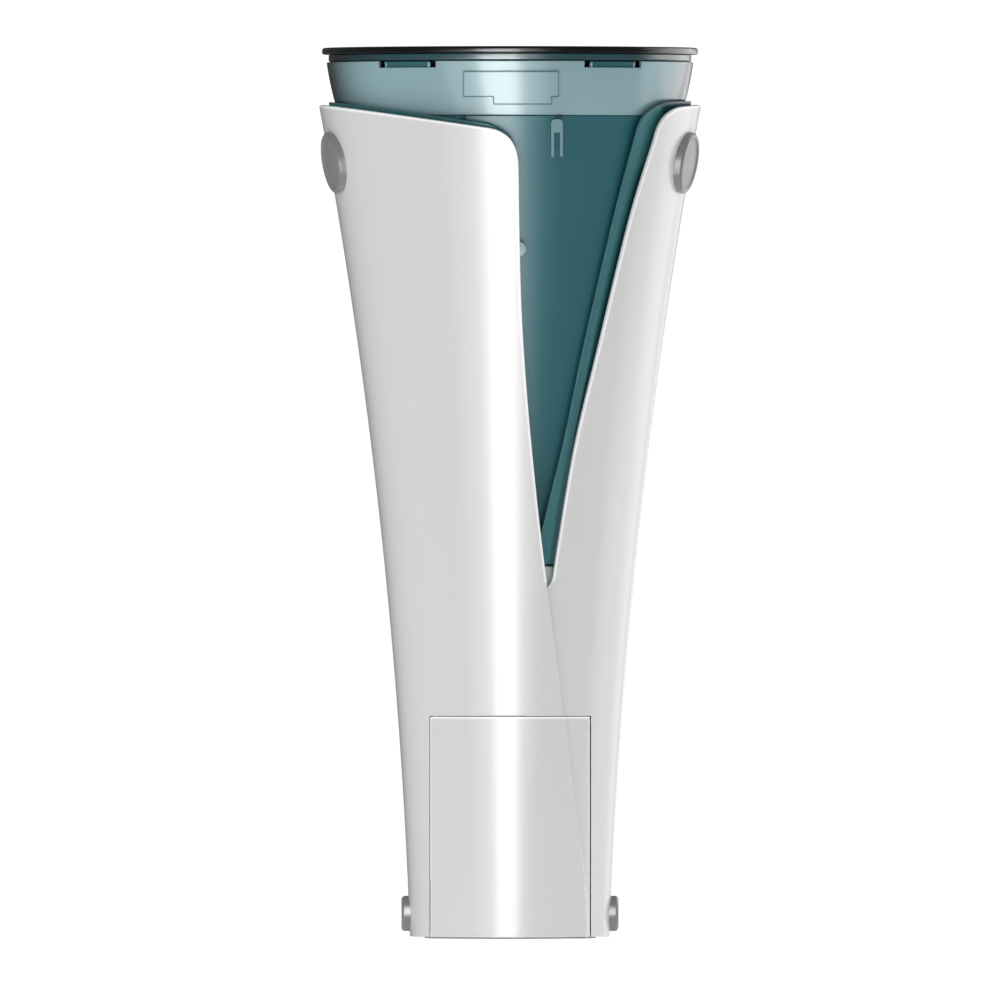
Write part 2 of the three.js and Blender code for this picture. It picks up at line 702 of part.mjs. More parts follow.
function impellerGuard() {
  const shell = solid(revolved([
    [20.4, PLATE_TOP + GAP], [22, PLATE_TOP + GAP], [22, 206], [19, 209.5], [8, 209.5], [8, 207.9],
    [18.3, 207.9], [20.4, 205.4], [20.4, PLATE_TOP + GAP],
  ], 24));
  const slots = [];
  for (let i = 0; i < 8; i += 1) {
    slots.push(block(-3, 3, 15, 30, 195, 204).rotate([0, 0, i * 45 + 22.5]));
  }
  return cut(shell, ...slots);
}

const temperatureProbe = () => solid(revolved([
  [0, PLATE_TOP + GAP], [2, PLATE_TOP + GAP], [2, 236], [1.2, 238], [0, 238.4],
], 10)).translate([-14.5, 40, 0]);

// Blank plate on the front of the collar.
function labelPlate() {
  const shape = new THREE.Shape();
  shape.moveTo(-23.5, 420.4);
  shape.lineTo(-23.5, 431.8);
  shape.quadraticCurveTo(-23.5, 432.6, -22.7, 432.6);
  shape.lineTo(23.7, 432.6);
  shape.quadraticCurveTo(24.5, 432.6, 24.5, 431.8);
  shape.lineTo(24.5, 419.6);
  shape.lineTo(21, 419.6);
  shape.lineTo(21, 415.8);
  shape.lineTo(-8.5, 415.8);
  shape.lineTo(-8.5, 419.6);
  shape.lineTo(-22.7, 419.6);
  return collarSkin(0.3, 0.8).intersect(frontPrism(shape, -REACH, -40));
}

// Thin layer that follows the collar, from one distance outside it to another.
function collarSkin(from, to) {
  const outer = collarLine(to);
  return solid(revolved([...outer, ...collarLine(from).reverse(), outer[0]]));
}

// Forked spring clip that holds the collar down on the tank, hinged at its head.
const CLIP = { x: 23.5, top: 408.6, bottom: 390, half: 2.85 };

function collarClip() {
  const { x, top, bottom, half } = CLIP;
  const fork = new THREE.Shape();
  fork.moveTo(x - half, bottom);
  fork.lineTo(x - half, top - 2);
  fork.quadraticCurveTo(x - half, top, x - half + 2, top);
  fork.lineTo(x + half - 2, top);
  fork.quadraticCurveTo(x + half, top, x + half, top - 2);
  fork.lineTo(x + half, bottom);
  fork.lineTo(x + half - 1.3, bottom);
  fork.lineTo(x + half - 1.3, top - 6.6);
  fork.lineTo(x - half + 1.3, top - 6.6);
  fork.lineTo(x - half + 1.3, bottom);
  const layer = (z, extra) => [tankRadius(z) + extra, z];
  const skin = solid(revolved([
    layer(380, 1.3), layer(380, 2.5), layer(TANK_TOP, 2.5), layer(TANK_TOP, 1.3), layer(380, 1.3),
  ]));
  const pad = solid(revolved([
    layer(380, GAP), layer(380, 1.6), layer(TANK_TOP, 1.6), layer(TANK_TOP, GAP), layer(380, GAP),
  ])).intersect(block(x - 1.6, x + 1.6, -REACH, -40, top - 3.4, top - 0.4));
  return skin.intersect(frontPrism(fork, -REACH, -40)).add(pad);
}

// ---- Lid ----
const DISH_RADIUS = 34;

const lidDisc = () => solid(revolved([
  [0, 431], [31, 431], [DISH_RADIUS, 434], [DISH_RADIUS, 444.5], [DISH_RADIUS + 0.6, HEIGHT],
  [LID_RADIUS - 0.8, HEIGHT], [LID_RADIUS, HEIGHT - 0.8], [LID_RADIUS, 442.3], [93.4, 441.7],
  [82.5, 441.7], [82.5, 434], [80.6, 434], [80.6, 441.7], [36, 441.7], [36, 429], [0, 429],
]));

const lidGasket = () => ring(83.6, 82.8, 436.2, 439, SEGMENTS);

function lidGrip() {
  const shape = new THREE.Shape();
  const half = DISH_RADIUS - GAP;
  shape.moveTo(-half, -5);
  shape.quadraticCurveTo(0, -7.5, half, -5);
  shape.lineTo(half, 5);
  shape.quadraticCurveTo(0, 7.5, -half, 5);
  return topPrism(shape, 440.4, 444.6, 10).intersect(disc(half, 430, HEIGHT, SEGMENTS));
}

// ---- Assembly ----
const group = new THREE.Group();
group.name = 'sous_vide_bath';

function add(name, shape, finish) {
  const mesh = new THREE.Mesh(geometryOf(shape), finish());
  mesh.name = name;
  group.add(mesh);
}

add('left_shell', leftShell(), look.white);
add('right_shell', rightShell(), look.white);
add('inner_liner', innerLiner(), look.teal);
add('rear_spine', rearSpine(), look.white);
add('flap_standoff', flapStandoff(), look.paleTeal);

for (const [side, word] of [[-1, 'left'], [1, 'right']]) {
  add(`upper_cap_${word}`, sideCap(side, UPPER_CAP, -5), look.grey);
  add(`upper_nut_${word}`, capNut(side), look.steel);
  add(`lower_cap_${word}`, sideCap(side, LOWER_CAP, -5.6), look.grey);
}

add('foot_pad', footPad(), look.rubber);
add('base_plate', basePlate(), look.dark);
POST_ANGLES.forEach((angle, i) => add(`frame_post_${i + 1}`, framePost(angle), look.steel));
add('motor_bracket', motorBracket(), look.steel);
add('tank_seat', tankSeat(), look.seat);
add('seat_gasket', seatGasket(), look.rubber);
add('base_connector', baseConnector(), look.black);
add('motor_housing', motorHousing(), look.steel);
add('motor_rotor', motorRotor(), look.steel);
add('drive_magnet', driveMagnet(), look.magnet);

add('access_door', accessDoor(), look.white);
add('door_hinge_pin', rod(HINGE.x, HINGE.y, 1, FLOOR_TOP + GAP, BRACKET_Z - GAP, 12), look.steel);
add('door_magnet', block(-35.6, -30, -31.1, -29.9, 99, 107), look.magnet);
add('catch_plate', block(-35.6, -30, -29.5, -28.3, 98, 108), look.steel);

add('control_panel', controlPanel(), look.dark);
add('display_lens', displayLens(), look.glass);
add('display_module', displayModule(), look.black);
add('dial_knob', dialKnob(), look.grey);
add('dial_encoder', dialEncoder(), look.black);
add('start_button', startButton(), look.paleTeal);
add('button_switch', buttonSwitch(), look.black);
add('control_board', controlBoard(), look.board);
add('power_board', powerBoard(), look.board);
add('transformer', transformer(), look.magnet);
add('rear_panel', rearPanel(), look.dark);
add('power_inlet', powerInlet(), look.black);
add('switch_frame', switchFrame(), look.black);
add('switch_rocker', switchRocker(), look.grey);

add('water_tank', waterTank(), look.teal);
add('tank_collar', tankCollar(), look.paleTeal);
add('rim_ring', rimRing(), look.black);
add('base_seal', baseSeal(), look.rubber);
add('heater_plate', heaterPlate(), look.steel);
add('base_cover', baseCover(), look.dark);
add('tank_connector', tankConnector(), look.black);
add('heating_element', heatingElement(), look.steel);
add('impeller_pin', impellerPin(), look.ceramic);
add('impeller', impeller(), look.dark);
add('follower_magnet', followerMagnet(), look.magnet);
add('impeller_guard', impellerGuard(), look.steel);
add('temperature_probe', temperatureProbe(), look.steel);
add('label_plate', labelPlate(), look.paleTeal);
add('collar_clip', collarClip(), look.paleTeal);

add('lid_disc', lidDisc(), look.black);
add('lid_gasket', lidGasket(), look.rubber);
add('lid_grip', lidGrip(), look.black);

export default group;
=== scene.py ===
"""Looks of the all-in-one sous vide bath: smooth skins, moulded detail, materials, light, camera.

Lengths in the dimension block and in the point lists are millimetres. Meshes are scaled to metres
when they are made. Angles round the body run from 0 at the rear, through 90 at a side, to 180 at
the front, and X is positive on the side that a mirrored piece belongs to.
"""

import math

import bmesh
import bpy
import numpy as np
from mathutils import Matrix, Vector


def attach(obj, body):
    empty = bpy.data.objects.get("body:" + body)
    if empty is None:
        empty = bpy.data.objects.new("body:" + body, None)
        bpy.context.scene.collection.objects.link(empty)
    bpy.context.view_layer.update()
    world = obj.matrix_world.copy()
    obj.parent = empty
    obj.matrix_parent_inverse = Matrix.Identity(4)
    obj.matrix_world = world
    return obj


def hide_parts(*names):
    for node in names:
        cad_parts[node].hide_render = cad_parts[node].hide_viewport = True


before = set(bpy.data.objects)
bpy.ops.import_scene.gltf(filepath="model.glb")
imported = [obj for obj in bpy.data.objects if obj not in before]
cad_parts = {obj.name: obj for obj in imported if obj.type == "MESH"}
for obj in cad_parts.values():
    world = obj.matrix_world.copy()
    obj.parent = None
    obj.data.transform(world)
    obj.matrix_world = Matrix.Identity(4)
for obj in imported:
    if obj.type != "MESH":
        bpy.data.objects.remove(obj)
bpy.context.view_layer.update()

MM = 0.001

# ---- Dimensions as in the CAD ----
BASE_RADIUS = 50
FLARE = 0.035
FLARE_GROWTH = 1.784e-4
SKIN_BOTTOM = 0.8
SKIN_WALL = 2.2
SKIN_PEAK = 416.3
SKIN_REAR = 407
SIDE_PEAK_X = 96
LAP_STEP = 2.6
LAP_TOP = 220
LAP_FADE = 110
LAP_ANGLE = 58
LAP_ANGLE_FADE = 26
LINER_OUTSET = 5.1
LINER_WALL = 1.2
LINER_BOTTOM = 187
LINER_PEAK = 418.5
TANK_BOTTOM = 186
TANK_FOOT_RADIUS = 50.5
TANK_WALL = 2.2
COLLAR_TOP = 437.7
NOTCH_DEPTH = 3.2
NOTCH_SPAN = 11
NOTCH_PLACES = (35, 145, 215, 325)
TAB_PLACES = (-23.5, 24)
HINGE = (26.8, -34.6)
PANEL_X = -14.5
PANEL_FACE = -28
DIAL_Z = 56
BUTTON_Z = 31

# ---- Dimensions that differ a little from the CAD, to follow the photo ----
DOOR_HALF = 39.75
DOOR_TOP = 110.85
SEAM = 0.4
HINGE_GAP = 0.65  # the seam at the hinge, wide enough for the open door
TANK_TOP = 410.6
TANK_MOUTH = 85.08
COLLAR_BASE = 410.7

# ---- Dimensions of the skins only ----
REAR_GAP = 0.2  # half of the seam between the two shells at the back
REAR_OPENING_HALF = 18.3
REAR_OPENING = (10, 66)
EDGE_HIGHLIGHT_FOOT = 177.5  # the shells' painted edge highlight starts above this height
RIB_SPREAD = 8.2
DISPLAY_Z = 86


def skin_radius(z):
    """Radius of the wrap's outer face at a height."""
    return BASE_RADIUS + FLARE * z + FLARE_GROWTH * z * z


def skin_slope(z):
    """How fast the wrap's radius grows at a height."""
    return FLARE + 2 * FLARE_GROWTH * z


def tank_radius(z):
    """Radius of the tank's outer face at a height."""
    widening = TANK_MOUTH - TANK_FOOT_RADIUS
    return TANK_FOOT_RADIUS + (z - TANK_BOTTOM) * widening / (TANK_TOP - TANK_BOTTOM)


def smoothstep(x, low, high):
    t = np.clip((x - low) / (high - low), 0, 1)
    return t * t * (3 - 2 * t)


def lap_share(z):
    """Share of the lap's step at a height: whole low down, none above the fade."""
    return 1 - smoothstep(z, LAP_TOP, LAP_TOP + LAP_FADE)


def lap_inward(a, z):
    """How far the right shell steps inward to pass under the left one."""
    sideways = 1 - smoothstep(180 - a, LAP_ANGLE, LAP_ANGLE + LAP_ANGLE_FADE)
    return LAP_STEP * sideways * lap_share(z)


# ---- Curves ----
def spline(points, count=400):
    """The smooth curve through the points, passing through each of them."""
    pts = np.array(points, float)
    last = len(pts) - 1
    t = np.linspace(0, last, count + 1)
    k = np.minimum(t.astype(int), last - 1)
    w = (t - k)[:, None]
    p0, p1 = pts[np.maximum(k - 1, 0)], pts[k]
    p2, p3 = pts[np.minimum(k + 1, last)], pts[np.minimum(k + 2, last)]
    v0, v1 = (p2 - p0) / 2, (p3 - p1) / 2
    cubic = (2 * p1 - 2 * p2 + v0 + v1) * w**3
    return cubic + (3 * p2 - 3 * p1 - 2 * v0 - v1) * w**2 + v0 * w + p1


def bow(start, middle, end, count=24):
    """A quadratic curve from start to end, pulled towards middle."""
    t = np.linspace(0, 1, count + 1)[:, None]
    start, middle, end = (np.array(p, float) for p in (start, middle, end))
    return (1 - t) ** 2 * start + 2 * t * (1 - t) * middle + t * t * end


def resample(line, shares):
    """Points on a polyline at shares of its length."""
    line = np.array(line, float)
    steps = np.linalg.norm(np.diff(line * [1.4, 1], axis=0), axis=1)
    along = np.concatenate([[0], np.cumsum(steps)])
    along /= along[-1]
    return np.stack([np.interp(shares, along, line[:, k]) for k in (0, 1)], 1)


def at_height(line, z):
    """First coordinate of a curve where its second is z."""
    order = np.argsort(line[:, 1])
    return np.interp(z, line[order, 1], line[order, 0])


LEFT_EDGE = spline([(4.2, 386), (6.2, 305), (13.5, 219), (26, 119), (41.5, -4)])
RIGHT_EDGE = spline([
    (73, 399), (60.6, 359), (44.5, 294), (32.3, 243), (22.8, 187), (21.6, 179.4), (18.6, 175.4),
    (14.4, 169), (12, 148), (10, 90), (9, -4)])
LINER_EDGE = spline([(64, 405), (52.3, 361), (36.6, 294), (26, 244), (13, 193)])


# ---- Mesh building ----
def turn_outward(verts, faces):
    """The faces, turned over if the closed mesh is inside out."""
    v = np.array(verts)
    total = 0.0
    for f in faces:
        for k in range(1, len(f) - 1):
            total += np.dot(v[f[0]], np.cross(v[f[k]], v[f[k + 1]]))
    return faces if total > 0 else [tuple(reversed(f)) for f in faces]


def thick_grid(outer, normal, wall, keep=None, wrap=False):
    """A closed wall of even thickness from a grid of points on its outer face.

    keep says which cells are there. Every edge that only one kept cell has is closed off."""
    rows, cols = outer.shape[:2]
    cells = cols if wrap else cols - 1
    if keep is None:
        keep = np.ones((rows - 1, cells), bool)
    half = rows * cols
    verts = np.concatenate([outer.reshape(-1, 3), (outer - normal * wall).reshape(-1, 3)])

    def at(i, j):
        return i * cols + j % cols

    def kept(i, j):
        j = j % cells if wrap else j
        return 0 <= i < rows - 1 and 0 <= j < cells and keep[i, j]

    faces = []
    for i in range(rows - 1):
        for j in range(cells):
            if not keep[i, j]:
                continue
            ring = (at(i, j), at(i, j + 1), at(i + 1, j + 1), at(i + 1, j))
            faces.append(ring)
            faces.append(tuple(half + v for v in reversed(ring)))
            beside = ((i - 1, j), (i, j + 1), (i + 1, j), (i, j - 1))
            for k, near in enumerate(beside):
                if not kept(*near):
                    p, q = ring[k], ring[(k + 1) % 4]
                    faces.append((q, p, p + half, q + half))
    return verts, turn_outward(verts, faces)


def straight_back(normal, columns, rows=slice(None)):
    """Turns the wall's thickness towards +Y at a cut, easing off over the columns beside it."""
    for column, share in zip(columns, (1, 0.6, 0.3, 0.1)):
        n = normal[rows, column]
        back = np.zeros_like(n)
        back[:, 1] = 1 / n[:, 1]
        normal[rows, column] = share * back + (1 - share) * n


def rounded(profile, radius=0.5, steps=3):
    """A closed outline in radius and height with its corners rounded."""
    pts = [np.array(p, float) for p in profile]
    made = []
    for k, p in enumerate(pts):
        before, after = pts[k - 1] - p, pts[(k + 1) % len(pts)] - p
        lb, la = np.linalg.norm(before), np.linalg.norm(after)
        if p[0] < 1e-6 or lb < 1e-6 or la < 1e-6:
            made.append(p)
            continue
        reach = min(radius, 0.42 * lb, 0.42 * la)
        start, end = p + before / lb * reach, p + after / la * reach
        made.extend(bow(start, p, end, steps))
    return made


def turned(profile, segments=128, place=None):
    """A closed solid turned about Z from a closed outline of (radius, height)."""
    ring = np.array(profile, float)
    angles = np.linspace(0, 2 * math.pi, segments, endpoint=False)
    verts = np.stack([
        np.outer(np.sin(angles), ring[:, 0]), -np.outer(np.cos(angles), ring[:, 0]),
        np.tile(ring[:, 1], (segments, 1))], 2).reshape(-1, 3)
    n = len(ring)
    faces = [
        (s * n + k, (s + 1) % segments * n + k, (s + 1) % segments * n + (k + 1) % n,
         s * n + (k + 1) % n)
        for s in range(segments) for k in range(n)
        if ring[k, 0] > 1e-6 or ring[(k + 1) % n, 0] > 1e-6]
    if place is not None:
        verts = np.array([place @ Vector(v) for v in verts])
    return verts, turn_outward(verts, faces)


def tube(points, radius, sides=10):
    """A round bead along a closed run of points that faces the front."""
    pts = np.array(points, float)
    ahead = np.roll(pts, -1, 0) - np.roll(pts, 1, 0)
    ahead /= np.linalg.norm(ahead, axis=1)[:, None]
    side = np.cross(ahead, np.array([[0.0, 1.0, 0.0]]))
    side /= np.linalg.norm(side, axis=1)[:, None]
    up = np.cross(side, ahead)
    turns = np.linspace(0, 2 * math.pi, sides, endpoint=False)
    verts = (pts[:, None] + radius * (
        np.cos(turns)[None, :, None] * side[:, None]
        + np.sin(turns)[None, :, None] * up[:, None])).reshape(-1, 3)
    count = len(pts)
    faces = []
    for k in range(count):
        for s in range(sides):
            m, t = (k + 1) % count, (s + 1) % sides
            faces.append((k * sides + s, k * sides + t, m * sides + t, m * sides + s))
    return verts, turn_outward(verts, faces)


def prism(outline, low, high, axis="z"):
    """A straight-sided solid from an outline, along z or along y."""
    n = len(outline)
    if axis == "z":
        verts = [(x, y, h) for h in (low, high) for x, y in outline]
    else:
        verts = [(x, h, z) for h in (low, high) for x, z in outline]
    faces = [tuple(range(n)), tuple(range(2 * n - 1, n - 1, -1))]
    faces += [(k, (k + 1) % n, (k + 1) % n + n, k + n) for k in range(n)]
    return np.array(verts, float), turn_outward(verts, faces)


def box_solid(x0, x1, y0, y1, z0, z1):
    return prism([(x0, y0), (x1, y0), (x1, y1), (x0, y1)], z0, z1)


def piece(name, parts, finish, body, nodes, bevel=0.0, segments=3, angle=40):
    """One shown piece: its closed parts in one mesh, riding on a body in place of CAD nodes."""
    verts, faces = [], []
    for part_verts, part_faces in parts:
        start = len(verts)
        verts.extend(tuple(float(c) * MM for c in v) for v in part_verts)
        faces.extend(tuple(i + start for i in f) for f in part_faces)
    mesh = bpy.data.meshes.new(name)
    mesh.from_pydata(verts, [], faces)
    bm = bmesh.new()
    bm.from_mesh(mesh)
    bmesh.ops.delete(bm, geom=[v for v in bm.verts if not v.link_faces], context="VERTS")
    bmesh.ops.remove_doubles(bm, verts=bm.verts, dist=2e-6)
    bmesh.ops.dissolve_degenerate(bm, dist=1e-6, edges=bm.edges)
    bm.to_mesh(mesh)
    bm.free()
    mesh.polygons.foreach_set("use_smooth", [True] * len(mesh.polygons))
    obj = bpy.data.objects.new(name, mesh)
    bpy.context.scene.collection.objects.link(obj)
    if bevel:
        soften(obj, bevel, segments, angle)
    weight_normals(obj)
    obj.data.materials.append(finish["material"])
    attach(obj, body)
    if nodes:
        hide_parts(*nodes)
    return obj


def soften(obj, width, segments=2, angle=35):
    """Rounds the sharp edges of a piece without changing its stored mesh."""
    bevel = obj.modifiers.new("rounded_edges", "BEVEL")
    bevel.width = width * MM
    bevel.segments = segments
    bevel.limit_method = "ANGLE"
    bevel.angle_limit = math.radians(angle)
    bevel.use_clamp_overlap = True


def weight_normals(obj):
    normals = obj.modifiers.new("even_shading", "WEIGHTED_NORMAL")
    normals.keep_sharp = True
    normals.weight = 60


# ---- Materials ----
def node_tree(name):
    material = bpy.data.materials.new(name)
    material.use_nodes = True
    tree = material.node_tree
    shader = next(n for n in tree.nodes if n.type == "BSDF_PRINCIPLED")
    place = tree.nodes.new("ShaderNodeTexCoord").outputs["Object"]
    return material, tree, shader, place


def noise(tree, place, scale, detail=3.0, stretch=(1, 1, 1)):
    """A noise pattern on the piece, in features per metre."""
    mapping = tree.nodes.new("ShaderNodeMapping")
    mapping.inputs["Scale"].default_value = stretch
    tree.links.new(place, mapping.inputs["Vector"])
    made = tree.nodes.new("ShaderNodeTexNoise")
    made.inputs["Scale"].default_value = scale
    made.inputs["Detail"].default_value = detail
    tree.links.new(mapping.outputs["Vector"], made.inputs["Vector"])
    return made.outputs["Fac"]


def spread(tree, value, low, high, start=0.2, end=0.8):
    """A pattern's middle range stretched to run from low to high."""
    made = tree.nodes.new("ShaderNodeMapRange")
    made.interpolation_type = "SMOOTHSTEP"
    made.inputs["From Min"].default_value = start
    made.inputs["From Max"].default_value = end
    made.inputs["To Min"].default_value = low
    made.inputs["To Max"].default_value = high
    tree.links.new(value, made.inputs["Value"])
    return made.outputs["Result"]


def two_tone(tree, value, first, second):
    made = tree.nodes.new("ShaderNodeMix")
    made.data_type = "RGBA"
    made.inputs["A"].default_value = (*first, 1)
    made.inputs["B"].default_value = (*second, 1)
    tree.links.new(value, made.inputs["Factor"])
    return made.outputs["Result"]


def bump(tree, shader, value, strength, distance):
    made = tree.nodes.new("ShaderNodeBump")
    made.inputs["Strength"].default_value = strength
    made.inputs["Distance"].default_value = distance
    tree.links.new(value, made.inputs["Height"])
    tree.links.new(made.outputs["Normal"], shader.inputs["Normal"])


def slant_tint_and_shade(tree, color, edge, start):
    """Darkens the colour where the wall is seen at a slant: partly a clear tint's deeper colour,
    partly painted shade standing in for dark reflections at the silhouettes.
    """
    weight = tree.nodes.new("ShaderNodeLayerWeight")
    weight.inputs["Blend"].default_value = 0.5
    slant = spread(tree, weight.outputs["Facing"], 0, 1, start, 0.95)
    made = tree.nodes.new("ShaderNodeMix")
    made.data_type = "RGBA"
    made.inputs["B"].default_value = (*edge, 1)
    tree.links.new(color, made.inputs["A"])
    tree.links.new(slant, made.inputs["Factor"])
    return made.outputs["Result"]


def finish(
    slot, name, first, second, tone, rough, grain, stretch=(1, 1, 1), slant_shade=None, **sockets
):
    """A moulded or machined surface: two tones, a roughness range and a grain.

    tone is the scale of the colour drift, rough its least and most roughness, and grain the
    scale, strength and depth of the fine relief. slant_shade is the colour at a slant, partly a
    clear tint's deeper colour and partly painted shade, and where that starts. sockets are set
    as they are on the shader."""
    material, tree, shader, place = node_tree(name)
    drift = spread(tree, noise(tree, place, tone, 1.5, stretch), 0, 1)
    color = two_tone(tree, drift, first, second)
    if slant_shade:
        color = slant_tint_and_shade(tree, color, *slant_shade)
    tree.links.new(color, shader.inputs["Base Color"])
    smear = noise(tree, place, tone * 1.7, 1.5, stretch)
    tree.links.new(spread(tree, smear, *rough), shader.inputs["Roughness"])
    bump(tree, shader, noise(tree, place, grain[0], 4, stretch), grain[1], grain[2])
    for socket, value in sockets.items():
        shader.inputs[socket.replace("_", " ")].default_value = value
    return {"slot": slot, "material": material}


def liner_finish():
    """Clear teal, lighter along its rounded front edge, with a painted shadow that darkens it
    towards the white skin's edge, where the skin shades it.
    """
    material, tree, shader, place = node_tree("teal_clear_liner")
    inset = tree.nodes.new("ShaderNodeAttribute")
    inset.attribute_name = "inset"
    # Painted shadow: dark teal from 4.8 mm to 1.6 mm short of the right skin's front edge.
    painted_shadow = spread(tree, inset.outputs["Fac"], 0, 1, -4.8, -1.6)
    color = two_tone(tree, painted_shadow, (0.058, 0.228, 0.252), (0.006, 0.075, 0.095))
    tree.links.new(color, shader.inputs["Base Color"])
    bump(tree, shader, noise(tree, place, 500, 4), 0.02, 0.0001)
    for socket, value in (
            ("Roughness", 0.28), ("Coat Weight", 0.15), ("Coat Roughness", 0.2),
            ("Transmission Weight", 0.15), ("IOR", 1.5)):
        shader.inputs[socket].default_value = value
    return {"slot": "tinted_tank", "material": material}


def board_finish():
    """Green solder mask with tinned tracks and pads."""
    material, tree, shader, place = node_tree("circuit_board")
    bricks = tree.nodes.new("ShaderNodeTexBrick")
    turn = tree.nodes.new("ShaderNodeMapping")
    turn.inputs["Rotation"].default_value = (math.pi / 2, 0, 0)
    tree.links.new(place, turn.inputs["Vector"])
    tree.links.new(turn.outputs["Vector"], bricks.inputs["Vector"])
    bricks.inputs["Scale"].default_value = 110
    bricks.inputs["Mortar Size"].default_value = 0.025
    bricks.inputs["Color1"].default_value = (0.012, 0.09, 0.045, 1)
    bricks.inputs["Color2"].default_value = (0.016, 0.12, 0.06, 1)
    bricks.inputs["Mortar"].default_value = (0.05, 0.26, 0.14, 1)
    pads = tree.nodes.new("ShaderNodeTexVoronoi")
    pads.inputs["Scale"].default_value = 260
    tree.links.new(place, pads.inputs["Vector"])
    tinned = spread(tree, pads.outputs["Distance"], 1, 0, 0.14, 0.17)
    made = tree.nodes.new("ShaderNodeMix")
    made.data_type = "RGBA"
    made.inputs["B"].default_value = (0.62, 0.62, 0.6, 1)
    tree.links.new(bricks.outputs["Color"], made.inputs["A"])
    tree.links.new(tinned, made.inputs["Factor"])
    tree.links.new(made.outputs["Result"], shader.inputs["Base Color"])
    tree.links.new(tinned, shader.inputs["Metallic"])
    shader.inputs["Roughness"].default_value = 0.35
    bump(tree, shader, tinned, 0.25, 0.0002)
    return {"slot": "board", "material": material}


def paint_edge_highlight(made):
    """Paints a highlight on the white moulding's open edges: emission that makes them glow brighter
    than its face.
    """
    tree = made["material"].node_tree
    shader = next(n for n in tree.nodes if n.type == "BSDF_PRINCIPLED")
    edge = tree.nodes.new("ShaderNodeAttribute")
    edge.attribute_name = "edge"
    painted_edge_glow = spread(tree, edge.outputs["Fac"], 0, 0.32, 0.1, 0.9)
    tree.links.new(painted_edge_glow, shader.inputs["Emission Strength"])
    shader.inputs["Emission Color"].default_value = (1, 1, 1, 1)


WHITE = finish(
    "white_shell", "white_gloss_moulding", (0.775, 0.775, 0.775), (0.785, 0.785, 0.782), 12,
    (0.24, 0.26), (900, 0.02, 0.0001),
    Coat_Weight=0.8, Coat_Roughness=0.2, Coat_IOR=1.5, Specular_IOR_Level=0.5)
# Painted highlight: the white moulding glows along the edges marked on the skins and the door.
paint_edge_highlight(WHITE)
# TANK, PALE and RIM darken at a slant: partly a deeper clear tint, partly painted shade for the
# dark reflections at their silhouettes.
TANK = finish(
    "tinted_tank", "dark_teal_clear_moulding", (0.03, 0.168, 0.202), (0.033, 0.176, 0.212), 9,
    (0.28, 0.32), (500, 0.02, 0.0001), slant_shade=((0.01, 0.06, 0.07), 0.8),
    Coat_Weight=0.6, Coat_Roughness=0.26, Transmission_Weight=0.12, IOR=1.5)
TAB = finish(
    "tinted_tank", "deep_teal_moulding", (0.012, 0.05, 0.06), (0.014, 0.056, 0.066), 9,
    (0.5, 0.55), (500, 0.02, 0.0001), Specular_IOR_Level=0.2)
PALE = finish(
    "pale_tint", "pale_teal_clear_moulding", (0.335, 0.53, 0.58), (0.35, 0.545, 0.595), 9,
    (0.2, 0.24), (500, 0.02, 0.0001), slant_shade=((0.003, 0.006, 0.008), 0.3),
    Coat_Weight=1.0, Coat_Roughness=0.18, Coat_IOR=1.6, Transmission_Weight=0.12, IOR=1.5)
BRIGHT = finish(
    "pale_tint", "light_teal_moulding", (0.3, 0.46, 0.5), (0.32, 0.48, 0.52), 30,
    (0.24, 0.3), (700, 0.03, 0.0001), Coat_Weight=0.4, Coat_Roughness=0.2)
CLIP = finish(
    "pale_tint", "mid_teal_moulding", (0.2, 0.36, 0.4), (0.22, 0.38, 0.42), 30,
    (0.24, 0.3), (700, 0.03, 0.0001), Coat_Weight=0.4, Coat_Roughness=0.2)
BLACK = finish(
    "black_gloss", "gloss_black_moulding", (0.004, 0.004, 0.005), (0.005, 0.005, 0.006), 14,
    (0.2, 0.24), (800, 0.03, 0.0001), Coat_Weight=1.0, Coat_Roughness=0.18, Coat_IOR=1.6)
RIM = finish(
    "black_gloss", "smoked_rim_moulding", (0.03, 0.105, 0.125), (0.033, 0.112, 0.132), 14,
    (0.18, 0.22), (800, 0.03, 0.0001), slant_shade=((0.001, 0.001, 0.002), 0.04),
    Coat_Weight=1.0, Coat_Roughness=0.2, Coat_IOR=1.9)
GREY = finish(
    "cap_grey", "satin_grey_metal", (0.33, 0.33, 0.33), (0.36, 0.36, 0.36), 60,
    (0.3, 0.36), (1400, 0.06, 0.0001), Metallic=0.3)
SEAT = finish(
    "seat_grey", "matte_seat_moulding", (0.66, 0.77, 0.78), (0.69, 0.8, 0.81), 40,
    (0.45, 0.5), (1200, 0.1, 0.0002))
RUBBER = finish(
    "rubber", "moulded_rubber", (0.012, 0.012, 0.012), (0.022, 0.022, 0.023), 60,
    (0.7, 0.9), (1500, 0.3, 0.0002))
PAD = finish(
    "rubber", "grey_rubber", (0.3, 0.3, 0.3), (0.33, 0.33, 0.33), 60,
    (0.7, 0.9), (1500, 0.3, 0.0002))
STEEL = finish(
    "steel", "brushed_steel", (0.52, 0.53, 0.54), (0.6, 0.61, 0.62), 90,
    (0.22, 0.4), (600, 0.12, 0.0001), (1, 1, 14), Metallic=1.0, Anisotropic=0.3)
MAGNET = finish(
    "magnet", "sintered_magnet", (0.045, 0.045, 0.05), (0.07, 0.07, 0.075), 220,
    (0.5, 0.65), (2200, 0.3, 0.0002), Metallic=0.3)
DARK = finish(
    "dark_plastic", "fine_textured_dark_plastic", (0.012, 0.013, 0.015), (0.018, 0.02, 0.022), 70,
    (0.42, 0.55), (2600, 0.35, 0.0002))
LENS = finish(
    "lens", "smoked_lens", (0.006, 0.012, 0.014), (0.008, 0.015, 0.018), 8,
    (0.04, 0.07), (300, 0.01, 0.0001), Coat_Weight=1.0, Coat_Roughness=0.03)
